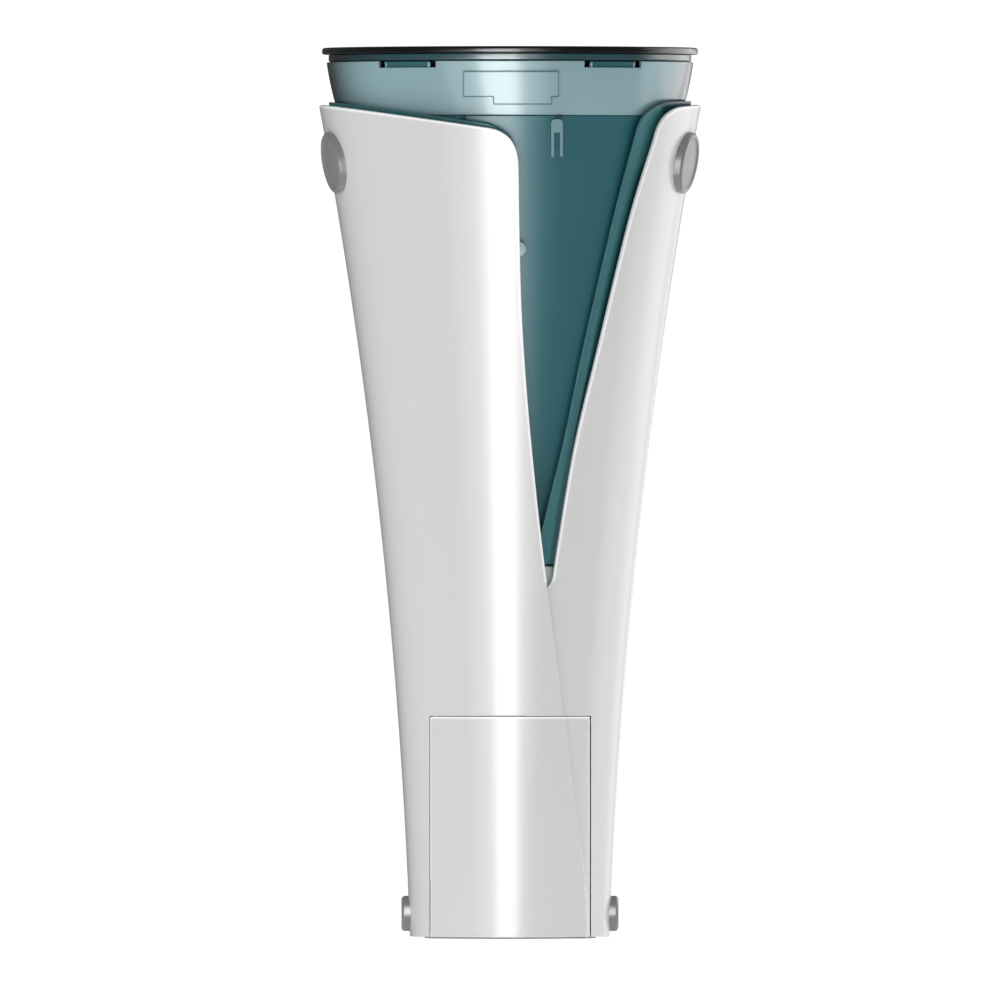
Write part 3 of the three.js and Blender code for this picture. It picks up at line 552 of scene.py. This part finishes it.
CERAMIC = finish(
    "ceramic", "polished_ceramic", (0.74, 0.72, 0.67), (0.79, 0.77, 0.72), 80,
    (0.15, 0.25), (900, 0.03, 0.0001), Coat_Weight=0.4)
LINER = liner_finish()
BOARD = board_finish()


def dress(node, made):
    """Gives a CAD node that stays its finish."""
    node.data.materials.clear()
    node.data.materials.append(made["material"])


# The CAD nodes that stay, by finish.
NODE_FINISH = (
    (WHITE, ["rear_spine"]),
    (DARK, ["base_plate", "control_panel", "rear_panel", "base_cover", "impeller"]),
    (STEEL, [*(f"frame_post_{k}" for k in range(1, 5)), "motor_bracket", "motor_housing",
             "motor_rotor", "door_hinge_pin", "catch_plate", "heater_plate", "heating_element",
             "impeller_guard", "temperature_probe", "upper_nut_left", "upper_nut_right"]),
    (MAGNET, ["drive_magnet", "door_magnet", "follower_magnet", "transformer"]),
    (RUBBER, ["seat_gasket", "base_seal", "lid_gasket"]),
    (BLACK, ["base_connector", "display_module", "dial_encoder", "button_switch", "power_inlet",
             "switch_frame", "tank_connector"]),
    (BOARD, ["control_board", "power_board"]),
    (CERAMIC, ["impeller_pin"]),
    (GREY, ["switch_rocker"]),
)
THIN_NODES = ("heating_element", "impeller")
for made, names in NODE_FINISH:
    for node_name in names:
        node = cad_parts[node_name]
        dress(node, made)
        if node_name not in THIN_NODES:
            soften(node, 0.35)
        weight_normals(node)

dress(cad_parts["foot_pad"], PAD)
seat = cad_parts["tank_seat"]
dress(seat, SEAT)
soften(seat, 0.5)
weight_normals(seat)


# ---- Wrap ----
def on_skin(a, z, side, outset=0.0, lap=False):
    """Points and outward directions on the skin, from angle and height grids."""
    r = skin_radius(z) - outset
    if lap:
        r = r - lap_inward(a, z)
    turn = np.radians(a)
    out = np.stack([side * np.sin(turn), np.cos(turn)], -1)
    points = np.concatenate([out * r[..., None], z[..., None]], -1)
    slope = skin_slope(z)
    normal = np.concatenate([out, -slope[..., None]], -1)
    return points, normal / np.sqrt(1 + slope * slope)[..., None]


def angle_of(x, z, outset=0.0, front=True):
    """Angle round the body at which the skin is x from the middle plane."""
    part = np.degrees(np.arcsin(np.clip(x / (skin_radius(z) - outset), -1, 1)))
    return 180 - part if front else part


def edge_angles(line, outset=0.0):
    """A front edge given as (x, z) turned into (angle, z)."""
    return np.stack([angle_of(line[:, 0], line[:, 1], outset), line[:, 1]], 1)


def top_line(first, last, slope_of, outset=0.0):
    """The wrap's top edge between two angles, where its height depends on x."""
    made = []
    for a in np.linspace(first, last, 60):
        z = 410.0
        for _ in range(6):
            z = slope_of((skin_radius(z) - outset) * math.sin(math.radians(a)))
        made.append((a, z))
    return made


def patch(bottom, top, first, last, u, v):
    """A grid that fills four edge curves, rows from bottom to top, columns first to last."""
    u, v = u[None, :, None], v[:, None, None]
    sides = (1 - v) * bottom[None] + v * top[None] + (1 - u) * first[:, None] + u * last[:, None]
    corners = (1 - u) * (1 - v) * bottom[0] + u * (1 - v) * bottom[-1]
    return sides - corners - (1 - u) * v * top[0] - u * v * top[-1]


def rear_height(x):
    """Height of the wrap's top edge behind the side peaks."""
    return SKIN_REAR + (SKIN_PEAK - SKIN_REAR) * abs(x) / SIDE_PEAK_X


def shell(side, edge, corner, shoulder, lap):
    """One half of the wrap, from the rear seam round to its front edge."""
    columns = (8, 52, 34)
    low_rows, mid_rows, door_rows, high_rows = 4, 18, 14, 130
    door_line = DOOR_TOP + SEAM
    door_side = DOOR_HALF + (HINGE_GAP if lap else SEAM)

    def inward(z):
        return LAP_STEP * lap_share(z) * lap

    def stops(z):
        return [
            angle_of(REAR_GAP, z, front=False), angle_of(REAR_OPENING_HALF, z, front=False),
            angle_of(door_side, z, inward(z)), angle_of(at_height(edge, z), z, inward(z))]

    def row(z):
        marks = stops(z)
        made = [marks[0]]
        for k, count in enumerate(columns):
            made.extend(np.linspace(marks[k], marks[k + 1], count + 1)[1:])
        return made

    lower_z = np.concatenate([
        np.linspace(SKIN_BOTTOM, REAR_OPENING[0], low_rows + 1),
        np.linspace(*REAR_OPENING, mid_rows + 1)[1:],
        np.linspace(REAR_OPENING[1], door_line, door_rows + 1)[1:]])
    lower = np.array([[(a, z) for a in row(z)] for z in lower_z])
    bottom = lower[-1]
    u = (bottom[:, 0] - bottom[0, 0]) / (bottom[-1, 0] - bottom[0, 0])
    v = np.linspace(0, 1, high_rows + 1)
    half_bend = 20
    bend = bow(edge[0], corner, shoulder, 2 * half_bend)
    rise = edge[edge[:, 1] > door_line][::-1]
    start = np.array([[at_height(edge, door_line), door_line]])
    last_line = np.concatenate([start, rise, bend[1:half_bend + 1]])
    last_line = edge_angles(last_line, inward(last_line[:, 1]))
    fall = edge_angles(bend[half_bend:])[::-1]
    line = (SKIN_PEAK - shoulder[1]) / (SIDE_PEAK_X - shoulder[0])

    def front_height(x):
        return shoulder[1] + line * (x - shoulder[0])

    back = top_line(angle_of(REAR_GAP, SKIN_REAR, front=False), 90, rear_height)
    front = top_line(90, fall[0, 0], front_height)
    top = resample(np.concatenate([back, front[1:-1], fall]), u)
    last = resample(last_line, v)
    first = np.stack([
        np.linspace(bottom[0, 0], top[0, 0], len(v)), np.linspace(door_line, top[0, 1], len(v))], 1)
    upper = patch(bottom, top, first, last, u, v)
    grid = np.concatenate([lower, upper[1:]])
    keep = np.ones((grid.shape[0] - 1, grid.shape[1] - 1), bool)
    below_door = len(lower_z) - 1
    cut = columns[0] + columns[1]
    keep[:below_door, cut:] = False
    keep[low_rows:low_rows + mid_rows, :columns[0]] = False
    points, normal = on_skin(grid[..., 0], grid[..., 1], side, 0.0, lap)
    straight_back(normal, range(cut, cut - 4, -1), slice(0, below_door + 1))
    border = np.concatenate([points[below_door:, -1], points[-1]])
    border = border[border[:, 2] > EDGE_HIGHLIGHT_FOOT]
    return thick_grid(points, normal, SKIN_WALL, keep), border


def mark_edge(obj, border, reach):
    """Stores how near each vertex is to a border, from 1 on it to 0 at the reach, for the painted
    edge highlight.
    """
    near = obj.data.attributes.new("edge", "FLOAT", "POINT")
    places = np.array([v.co for v in obj.data.vertices]) / MM
    for index in range(len(places)):
        apart = np.sqrt(((border - places[index]) ** 2).sum(1).min())
        near.data[index].value = max(0.0, 1 - apart / reach)


# The shells' front and top borders carry a painted edge highlight.
mirrored_edge = LEFT_EDGE * [-1, 1]
left, border = shell(-1, mirrored_edge, (-3.5, 402.5), (12, 404.2), 0)
left_skin = piece("left_skin", [left], WHITE, "stand", ["left_shell"], bevel=0.55)
mark_edge(left_skin, border, 1.6)
right, border = shell(1, RIGHT_EDGE, (76, 413), (87, 415), 1)
right_skin = piece("right_skin", [right], WHITE, "stand", ["right_shell"], bevel=0.55)
mark_edge(right_skin, border, 1.6)


def liner():
    """The tinted liner, from its front right edge round the back to under the left flap."""
    high_rows, across = 90, 150
    u, v = np.linspace(0, 1, across + 1), np.linspace(0, 1, high_rows + 1)
    half_bend = 20
    bend = bow((64, 405), (67, 414), (79, 417.5), 2 * half_bend)
    rise = LINER_EDGE[LINER_EDGE[:, 1] > 193.5][::-1]
    foot = np.array([[at_height(LINER_EDGE, 193.1), LINER_BOTTOM]])
    right_side = edge_angles(np.concatenate([foot, rise, bend[1:half_bend + 1]]), LINER_OUTSET)
    right_side[:, 0] = 180 - right_side[:, 0]
    fall = edge_angles(bend[half_bend:], LINER_OUTSET)[::-1]
    fall[:, 0] = 180 - fall[:, 0]
    hidden = LEFT_EDGE[(LEFT_EDGE[:, 1] < 370) & (LEFT_EDGE[:, 1] > 196)][::-1] - [7, 0]
    left_bend = bow((-12, 406.4), (-2, 405), (-2.6, 384), 2 * half_bend)
    foot = np.array([[hidden[0, 0], LINER_BOTTOM]])
    left_line = np.concatenate([foot, hidden, left_bend[half_bend:][::-1]])
    left_side = edge_angles(left_line * [-1, 1], LINER_OUTSET)
    left_side[:, 0] += 180
    left_fall = edge_angles(left_bend[:half_bend + 1] * [-1, 1], LINER_OUTSET)
    left_fall[:, 0] += 180

    def front_left(x):
        return 406.4 + (LINER_PEAK - 406.4) * (abs(x) - 12) / (SIDE_PEAK_X - 12)

    def rear(x):
        return rear_height(x) + 2

    def front_right(x):
        return 417.5 + (LINER_PEAK - 417.5) * (abs(x) - 79) / (SIDE_PEAK_X - 79)

    top = resample(np.concatenate([
        fall[::-1],
        np.array(top_line(fall[0, 0], 90, front_right, LINER_OUTSET))[1:],
        np.array(top_line(90, 270, rear, LINER_OUTSET))[1:],
        np.array(top_line(270, left_fall[0, 0], front_left, LINER_OUTSET))[1:-1],
        left_fall]), u)
    bottom = np.stack([
        np.interp(u, [0, 1], [right_side[0, 0], left_side[0, 0]]),
        np.full(len(u), LINER_BOTTOM)], 1)
    first, last = resample(right_side, v), resample(left_side, v)
    grid = patch(bottom, top, first, last, u, v)
    turn = 180 - grid[..., 0]
    points, normal = on_skin(turn, grid[..., 1], 1, LINER_OUTSET)
    return thick_grid(points, normal, LINER_WALL)


tinted_liner = piece("tinted_liner", [liner()], LINER, "stand", ["inner_liner"], bevel=0.2)
# The liner's painted shadow follows the right skin's front edge and fades out near the top, where
# the liner is open to the light.
inset = tinted_liner.data.attributes.new("inset", "FLOAT", "POINT")
for vertex in tinted_liner.data.vertices:
    point = vertex.co / MM
    open_top = 6 * smoothstep(point.z, 380, 402)
    inset.data[vertex.index].value = point.x - at_height(RIGHT_EDGE, point.z) - open_top


def disc_on(centre, direction, profile, segments=48):
    """A turned solid whose axis runs from centre along direction."""
    turn = Vector(direction).to_track_quat("Z", "Y").to_matrix().to_4x4()
    return turned(profile, segments, Matrix.Translation(Vector(centre)) @ turn)


boss_z = 344
boss = rounded([(0, 0), (4, 0), (4, 4.2), (0, 4.6)], 0.5)
boss_face = skin_radius(boss_z) - 7.4
piece(
    "flap_pad", [disc_on((4, -boss_face, boss_z), (0, -1, 0), boss)], BRIGHT, "stand",
    ["flap_standoff"])


# ---- Round side caps ----
def cap(side, angle, z, radius, proud, tilted, stud_end):
    slope = math.atan(skin_slope(z)) if tilted else 0.0
    turn = math.radians(angle) * side
    r = skin_radius(z)
    place = (
        Matrix.Translation((r * math.sin(turn), -r * math.cos(turn), z))
        @ Matrix.Rotation(turn, 4, "Z") @ Matrix.Rotation(math.pi / 2 + slope, 4, "X"))
    dome = [
        (radius - 3.2 - step, proud - 0.9 + 0.7 * math.sin(step / (radius - 3.2) * math.pi / 2))
        for step in np.linspace(0, radius - 3.2, 9)]
    head = rounded([
        (0, stud_end), (3.5, stud_end), (3.5, -1.8), (radius - 0.4, -1.8), (radius, -1.2),
        (radius, proud - 1.2), (radius - 1.1, proud - 0.1), (radius - 2.4, proud - 0.1),
        *dome], 0.35)
    return turned(head, 96, place)


for side, word in ((-1, "left"), (1, "right")):
    piece(
        f"round_cap_{word}", [cap(side, 75, 387.5, 15.5, 3.2, True, -5)], GREY, "stand",
        [f"upper_cap_{word}"])
    piece(
        f"foot_cap_{word}", [cap(side, 90, 12.3, 8.8, 3.9, False, -5.6)], GREY, "stand",
        [f"lower_cap_{word}"])


# ---- Door ----
def door():
    """The service door, stepped where the flap's edge runs on across it, and the border that gets
    its painted edge highlight.
    """
    zs = np.concatenate([np.linspace(SKIN_BOTTOM, 8, 5), np.linspace(8, DOOR_TOP, 61)[1:]])
    step_run, wall = 0.3, 2.3
    step_x = np.minimum(at_height(LEFT_EDGE, zs), DOOR_HALF - 0.8)[:, None]
    foot_x = step_x + step_run
    x = np.concatenate([
        -DOOR_HALF + (step_x + DOOR_HALF) * np.linspace(0, 1, 81),
        foot_x + (DOOR_HALF - foot_x) * np.linspace(0, 1, 15)], 1)
    z = np.repeat(zs[:, None], x.shape[1], 1)
    r = skin_radius(z) - (LAP_STEP - 0.2) * (x > step_x + 0.1)
    y = -np.sqrt(r * r - x * x)
    points = np.stack([x, y, z], -1)
    out = np.stack([x / r, y / r, -skin_slope(z)], -1)
    out /= np.linalg.norm(out, axis=-1)[..., None]
    straight_back(out, range(4))
    straight_back(out, range(-1, -5, -1))
    border = np.concatenate([points[:, 0], points[-1], points[:, -1]])
    return thick_grid(points, out, wall), border


def lug(z, depth):
    """Arm from the door's inside to its hinge pin, with the pin's eye."""
    far = math.hypot(*HINGE)
    away = np.array(HINGE) / far
    side = np.array([-away[1], away[0]]) * 2.6
    end = away * (skin_radius(z) - depth)
    hinge = np.array(HINGE)
    start = hinge + away * 1.6
    arm = prism([start + side, start - side, end - side, end + side], z, z + 5)
    eye = turned(
        rounded([(1.35, z), (2.6, z), (2.6, z + 5), (1.35, z + 5)], 0.3), 40,
        Matrix.Translation((HINGE[0], HINGE[1], 0)))
    return [arm, eye]


catch_post = box_solid(-35.6, -30, -39.6, -31.4, 99, 107)
panel, border = door()
front_door = piece(
    "front_door", [panel, *lug(12, 3.4), *lug(98, 3.6), catch_post], WHITE, "door",
    ["access_door"], bevel=0.5)
# The door's borders carry a painted edge highlight.
mark_edge(front_door, border, 1.0)


# ---- Tank ----
def wall_profile(z0, z1, radius_of, wall, steps):
    """The outer face going up and the inner face coming down, as (radius, height)."""
    outer = [(radius_of(z), z) for z in np.linspace(z0, z1, steps)]
    inner = [(radius_of(z) - wall, z) for z in np.linspace(z1, z0 + 3, steps)]
    return outer, inner


floor_hole, floor_wall = 38, 3
tank_outer, tank_inner = wall_profile(TANK_BOTTOM + 0.6, TANK_TOP, tank_radius, TANK_WALL, 40)
tank_outline = rounded([
    (floor_hole, TANK_BOTTOM), (49.9, TANK_BOTTOM), *tank_outer, *tank_inner,
    (floor_hole, TANK_BOTTOM + floor_wall)], 0.6)


def tank_tab(x):
    """Small locating tab on the tank's top edge, under the collar."""
    y = -math.sqrt(tank_radius(TANK_TOP) ** 2 - x * x)
    return box_solid(x - 1.3, x + 1.3, y - 0.7, y + 1.2, TANK_TOP - 2.4, TANK_TOP)


piece("clear_tank", [turned(tank_outline, 160)], TANK, "tank", ["water_tank"])
piece(
    "locating_tabs", [tank_tab(x) for x in TAB_PLACES], TAB, "tank", [], bevel=0.2, segments=2)


def collar_radius(z):
    curve = bow((85.3, COLLAR_BASE), (89.6, COLLAR_BASE + 12), (91.7, COLLAR_TOP), 60)
    return np.interp(z, curve[:, 1], curve[:, 0])


def collar():
    """Collar wall with four notches in its top edge."""
    cell, wall_rows = 2, 20
    angles = np.arange(0, 360, cell)
    edges = sorted({(p + s * NOTCH_SPAN) % 360 for p in NOTCH_PLACES for s in (-1, 1)})
    angles = np.array(sorted(set(angles) | set(edges)), float)
    zs = np.concatenate([
        np.linspace(COLLAR_BASE, COLLAR_TOP - NOTCH_DEPTH, wall_rows + 1),
        np.linspace(COLLAR_TOP - NOTCH_DEPTH, COLLAR_TOP, 4)[1:]])
    turn, z = np.meshgrid(np.radians(angles), zs)
    r = collar_radius(z)
    points = np.stack([r * np.sin(turn), -r * np.cos(turn), z], -1)
    slope = np.gradient(collar_radius(zs), zs)[:, None] * np.ones_like(turn)
    out = np.stack([np.sin(turn), -np.cos(turn), -slope], -1)
    out /= np.linalg.norm(out, axis=-1)[..., None]
    keep = np.ones((len(zs) - 1, len(angles)), bool)
    for place in NOTCH_PLACES:
        apart = np.abs((angles + 0.01 - place + 180) % 360 - 180)
        keep[wall_rows:, apart < NOTCH_SPAN] = False
    return thick_grid(points, out, TANK_WALL, keep, wrap=True)


def vent_web(place):
    """Thin web set back in a notch, with an open gap at each end; the ribs near the gaps come from
    vent_rib.
    """
    cell = 1.1
    spans = place + np.arange(-8, 9) * cell
    zs = np.linspace(COLLAR_TOP - NOTCH_DEPTH - 0.2, COLLAR_TOP - 0.2, 5)
    turn, z = np.meshgrid(np.radians(spans), zs)
    out = np.stack([np.sin(turn), -np.cos(turn), np.zeros_like(turn)], -1)
    r = collar_radius(z) - 1.2
    return thick_grid(out * r[..., None] + z[..., None] * [0, 0, 1], out, 0.8)


def vent_rib(angle):
    turn = math.radians(angle)
    r = collar_radius(COLLAR_TOP - NOTCH_DEPTH) - 1.3
    place = Matrix.Translation((r * math.sin(turn), -r * math.cos(turn), 0))
    rib = rounded([
        (0, COLLAR_TOP - NOTCH_DEPTH), (0.55, COLLAR_TOP - NOTCH_DEPTH), (0.55, COLLAR_TOP - 0.2),
        (0, COLLAR_TOP - 0.2)], 0.2)
    return turned(rib, 16, place)


webs = [vent_web(place) for place in NOTCH_PLACES]
piece("vent_webs", webs, TANK, "tank", [])
ribs = [vent_rib(place + side * RIB_SPREAD) for place in NOTCH_PLACES for side in (-1, 1)]
piece("vent_ribs", ribs, BRIGHT, "tank", [])

spigot = rounded([(82.75, 413.4), (82.1, 405.7), (80.4, 405.7), (80.9, 413.4)], 0.4)
piece(
    "clear_collar", [collar(), turned(spigot, 160)], PALE, "tank", ["tank_collar"], bevel=0.35)

ring_outline = rounded(
    [(84, 438), (90.2, 438), (90.7, 438.6), (90.7, 441.4), (84, 441.4)], 0.4)
piece("rim_band", [turned(ring_outline, 160)], RIM, "tank", ["rim_ring"])


def collar_sheet(columns, rows, keep, low, high):
    """A thin plate that follows the collar's front."""
    x, z = np.meshgrid(columns, rows)
    r = collar_radius(z) + high
    points = np.stack([x, -np.sqrt(r * r - x * x), z], -1)
    out = points * [1, 1, 0]
    out /= np.linalg.norm(out, axis=-1)[..., None]
    return thick_grid(points, out, high - low, keep)


label_x = np.concatenate([
    np.linspace(-23.5, -8.5, 9), np.linspace(-8.5, 21, 17)[1:], np.linspace(21, 24.5, 4)[1:]])
label_z = np.concatenate([np.linspace(415.8, 419.6, 4), np.linspace(419.6, 432.6, 11)[1:]])
label_keep = np.ones((len(label_z) - 1, len(label_x) - 1), bool)
label_keep[:3, :8] = False
label_keep[:3, 24:] = False
plate = collar_sheet(label_x, label_z, label_keep, 0.25, 0.7)
piece("blank_plate", [plate], PALE, "tank", ["label_plate"], bevel=0.12, segments=2)


def plate_line(corners, per_side=16):
    """Points along an outline on the plate's face."""
    made = []
    for k, (x0, z0) in enumerate(corners):
        x1, z1 = corners[(k + 1) % len(corners)]
        for t in np.linspace(0, 1, per_side, endpoint=False):
            x, z = x0 + (x1 - x0) * t, z0 + (z1 - z0) * t
            r = collar_radius(z) + 0.62
            made.append((x, -math.sqrt(r * r - x * x), z))
    return made


plate_edge = tube(
    plate_line([(-23.1, 420), (-23.1, 432.2), (24.1, 432.2), (24.1, 420), (20.6, 420),
                (20.6, 416.2), (-8.1, 416.2), (-8.1, 420)]), 0.24)
piece("plate_border", [plate_edge], TANK, "tank", [])


def clip():
    """Forked spring clip with a rounded head, and the pad that roots it at the tank."""
    middle, half, top, bottom = 23.5, 2.85, 408.6, 390
    fork_top, fork_rows = 402, 8
    xs = np.array([-half, -half + 0.65, -half + 1.3, 0, half - 1.3, half - 0.65, half])
    zs = np.concatenate([
        np.linspace(bottom, fork_top, fork_rows + 1), np.linspace(fork_top, top - 2, 5)[1:],
        top - 2 + 2 * np.sin(np.linspace(0, math.pi / 2, 6))[1:]])
    x, z = np.meshgrid(xs, zs)
    over = np.clip((z - (top - 2)) / 2, 0, 1)
    narrow = 2 * (1 - np.sqrt(1 - over * over))
    x = middle + x * (half - narrow) / half
    r = tank_radius(z) + 2.4
    points = np.stack([x, -np.sqrt(r * r - x * x), z], -1)
    out = np.stack([x / r, points[..., 1] / r, np.full_like(x, -0.15)], -1)
    keep = np.ones((len(zs) - 1, len(xs) - 1), bool)
    keep[:fork_rows, 2:4] = False
    body = thick_grid(points, out / np.linalg.norm(out, axis=-1)[..., None], 1.1, keep)
    pad_z = 406.7
    r = tank_radius(pad_z)
    y = -math.sqrt(r * r - middle * middle)
    pad = box_solid(middle - 1.6, middle + 1.6, y - 1.6, y - 0.4, pad_z - 1.5, pad_z + 1.5)
    return [body, pad]


piece("spring_clip", clip(), CLIP, "clip", ["collar_clip"], bevel=0.25, segments=2)

# ---- Lid ----
lid_outline = rounded([
    (0, 431), (31, 431), (34, 434), (34, 444.4), (34.8, 445), (93.2, 445), (94, 444.2),
    (94, 442.3), (93.4, 441.7), (82.5, 441.7), (82.5, 434), (80.6, 434), (80.6, 441.7),
    (36, 441.7), (36, 429), (0, 429)], 0.45)
piece("gloss_lid", [turned(lid_outline, 192)], BLACK, "lid", ["lid_disc"])


def grip():
    """Bar across the lid's dish, waisted at its ends and rounded on top."""
    half, low, high, widest = 33.7, 440.4, 444.6, 6.25
    xs = np.linspace(-half, half, 61)
    shares = np.linspace(0, 2 * math.pi, 33)[:-1]
    verts, faces = [], []
    for x in xs:
        wide = widest - 1.25 * (x / half) ** 2
        limit = math.sqrt(max(half * half - x * x, 0)) + 0.8
        for t in shares:
            c, s = math.cos(t), math.sin(t)
            y = wide * abs(c) ** 0.4 * math.copysign(1, c)
            z = (low + high) / 2 + (high - low) / 2 * abs(s) ** 0.55 * math.copysign(1, s)
            verts.append((x, max(-limit, min(limit, y)), z))
    n = len(shares)
    for k in range(len(xs) - 1):
        for s in range(n):
            t = (s + 1) % n
            faces.append((k * n + s, k * n + t, (k + 1) * n + t, (k + 1) * n + s))
    faces.append(tuple(range(n)))
    faces.append(tuple(reversed(range((len(xs) - 1) * n, len(xs) * n))))
    return np.array(verts), turn_outward(verts, faces)


piece("grip_bar", [grip()], BLACK, "lid", ["lid_grip"])

# ---- Controls behind the door ----
facing = Matrix.Translation((PANEL_X, PANEL_FACE + 3.1, DIAL_Z)) @ Matrix.Rotation(
    math.pi / 2, 4, "X")


def knob():
    """Fluted dial; its raised pointer is the separate dial_pointer piece."""
    rings = [(3, 0), (3, 3.4), (10.4, 3.4), (11, 4), (11, 11.8), (10.4, 12.8), (9.4, 13.2)]
    rings += [(9 - k, 13.0 - 0.1 * k) for k in range(0, 9, 2)]
    count = 192
    turns = np.linspace(0, 2 * math.pi, count, endpoint=False)
    verts, faces = [], []
    for r, h in rings:
        for t in turns:
            flute = 0.32 * (0.5 - 0.5 * math.cos(24 * t)) if r > 9.2 and h > 3.5 else 0.0
            verts.append(facing @ Vector(((r - flute) * math.cos(t), (r - flute) * math.sin(t), h)))
    for k in range(len(rings) - 1):
        for s in range(count):
            t = (s + 1) % count
            faces.append((k * count + s, k * count + t, (k + 1) * count + t, (k + 1) * count + s))
    faces.append(tuple(range(count)))
    faces.append(tuple(reversed(range((len(rings) - 1) * count, len(rings) * count))))
    return np.array(verts), turn_outward(verts, faces)


piece("fluted_dial", [knob()], GREY, "dial", ["dial_knob"])
pointer = prism([(-0.5, 4.5), (0.5, 4.5), (0.5, 9.0), (-0.5, 9.0)], 12.4, 13.5)
pointer = (np.array([facing @ Vector(v) for v in pointer[0]]), pointer[1])
piece("dial_pointer", [pointer], CERAMIC, "dial", [], bevel=0.15)

key = [
    (0, -3.6), (6.8, -3.6), (6.8, -2.8), (5.5, -2.8), (5.5, 2), (5.1, 2.4),
    *[(5.1 - k * 0.85, 2.4 - 0.5 * math.sin(k / 6 * math.pi / 2)) for k in range(1, 7)]]
piece(
    "start_key_cap", [disc_on((PANEL_X, PANEL_FACE, BUTTON_Z), (0, -1, 0), rounded(key, 0.2))],
    BRIGHT, "start_key", ["start_button"])

lens_x, lens_z = 16.2, 7.7
lens = prism([
    (PANEL_X - lens_x, DISPLAY_Z - lens_z), (PANEL_X + lens_x, DISPLAY_Z - lens_z),
    (PANEL_X + lens_x, DISPLAY_Z + lens_z), (PANEL_X - lens_x, DISPLAY_Z + lens_z)],
    PANEL_FACE, PANEL_FACE + 1.8, "y")
piece("display_window", [lens], LENS, "stand", ["display_lens"], bevel=0.4)

# ---- Floor, light and camera ----
def floor_finish():
    material, tree, shader, place = node_tree("pale_floor")
    drift = spread(tree, noise(tree, place, 3, 2), 0, 1)
    tree.links.new(
        two_tone(tree, drift, (0.86, 0.86, 0.86), (0.88, 0.88, 0.88)), shader.inputs["Base Color"])
    shader.inputs["Roughness"].default_value = 0.7
    shader.inputs["Emission Color"].default_value = (1, 1, 1, 1)
    shader.inputs["Emission Strength"].default_value = 0.64
    return material


def stage_floor():
    reach, count = 2.0, 96
    mesh = bpy.data.meshes.new("floor")
    turns = np.linspace(0, 2 * math.pi, count, endpoint=False)
    verts = [(reach * math.cos(t), reach * math.sin(t), 0.0) for t in turns]
    mesh.from_pydata(verts, [], [tuple(range(count))])
    mesh.materials.append(floor_finish())
    obj = bpy.data.objects.new("floor", mesh)
    bpy.context.scene.collection.objects.link(obj)
    obj.visible_glossy = False


stage_floor()


def area_light(name, azimuth, height, distance, width, tall, power, diffuse=True, glossy=True):
    """A soft rectangular light round the object, facing its middle. Azimuth 0 is the front."""
    light = bpy.data.lights.new(name, "AREA")
    light.shape = "RECTANGLE"
    light.size, light.size_y = width, tall
    light.energy = power
    obj = bpy.data.objects.new(name, light)
    bpy.context.scene.collection.objects.link(obj)
    turn = math.radians(azimuth)
    obj.location = (distance * math.sin(turn), -distance * math.cos(turn), height)
    target = Vector((0, 0, height))
    obj.rotation_mode = "QUATERNION"
    obj.rotation_quaternion = (target - obj.location).to_track_quat("-Z", "Z")
    obj.visible_camera = False
    obj.visible_diffuse = diffuse
    obj.visible_glossy = glossy


area_light("strip_core", -5, 0.19, 0.5, 0.2, 0.54, 1.6, diffuse=False)
area_light("strip_glow", -6, 0.19, 0.54, 0.34, 0.54, 0.4, diffuse=False)
area_light("strip_wings", -9, 0.19, 0.58, 0.66, 0.54, 1.1, diffuse=False)
area_light("strip_outer", -14, 0.19, 0.62, 1.2, 0.54, 0.2, diffuse=False)
area_light("right_bank", 122, 0.8, 1.5, 1.4, 1.6, 4.4)
area_light("right_edge", 132, 0.1, 1.0, 1.1, 1.4, 3.6, diffuse=False)
area_light("right_rear", 164, 0.1, 1.2, 0.4, 1.4, 0.5, diffuse=False)
area_light("left_fill", -75, 0.8, 1.8, 1.6, 1.6, 5.9, glossy=False)
area_light("top_soft", 180, 1.6, 0.9, 1.6, 1.2, 0.6)


def sky():
    """White to the camera's own rays, soft grey as light, and dim in reflections."""
    world = bpy.data.worlds.new("studio")
    bpy.context.scene.world = world
    world.use_nodes = True
    tree = world.node_tree
    back = next(n for n in tree.nodes if n.type == "BACKGROUND")
    path = tree.nodes.new("ShaderNodeLightPath")
    glossy = tree.nodes.new("ShaderNodeMapRange")
    glossy.inputs["To Min"].default_value = 0.48
    glossy.inputs["To Max"].default_value = 0.06
    tree.links.new(path.outputs["Is Glossy Ray"], glossy.inputs["Value"])
    level = tree.nodes.new("ShaderNodeMix")
    level.data_type = "FLOAT"
    level.inputs["B"].default_value = 1.05
    tree.links.new(path.outputs["Is Camera Ray"], level.inputs["Factor"])
    tree.links.new(glossy.outputs["Result"], level.inputs["A"])
    tree.links.new(level.outputs["Result"], back.inputs["Strength"])
    back.inputs["Color"].default_value = (1, 1, 1, 1)


sky()

scene = bpy.context.scene
scene.view_settings.view_transform = "Standard"
scene.view_settings.look = "None"

camera_data = bpy.data.cameras.new("camera")
camera_data.lens = 1500
camera_data.sensor_width = 36
camera_data.clip_start, camera_data.clip_end = 0.1, 60
camera = bpy.data.objects.new("camera", camera_data)
scene.collection.objects.link(camera)
field = 0.5
camera.location = (-0.005, -field * camera_data.lens / camera_data.sensor_width, 0.219)
camera.rotation_euler = (math.pi / 2, 0, 0)
scene.camera = camera
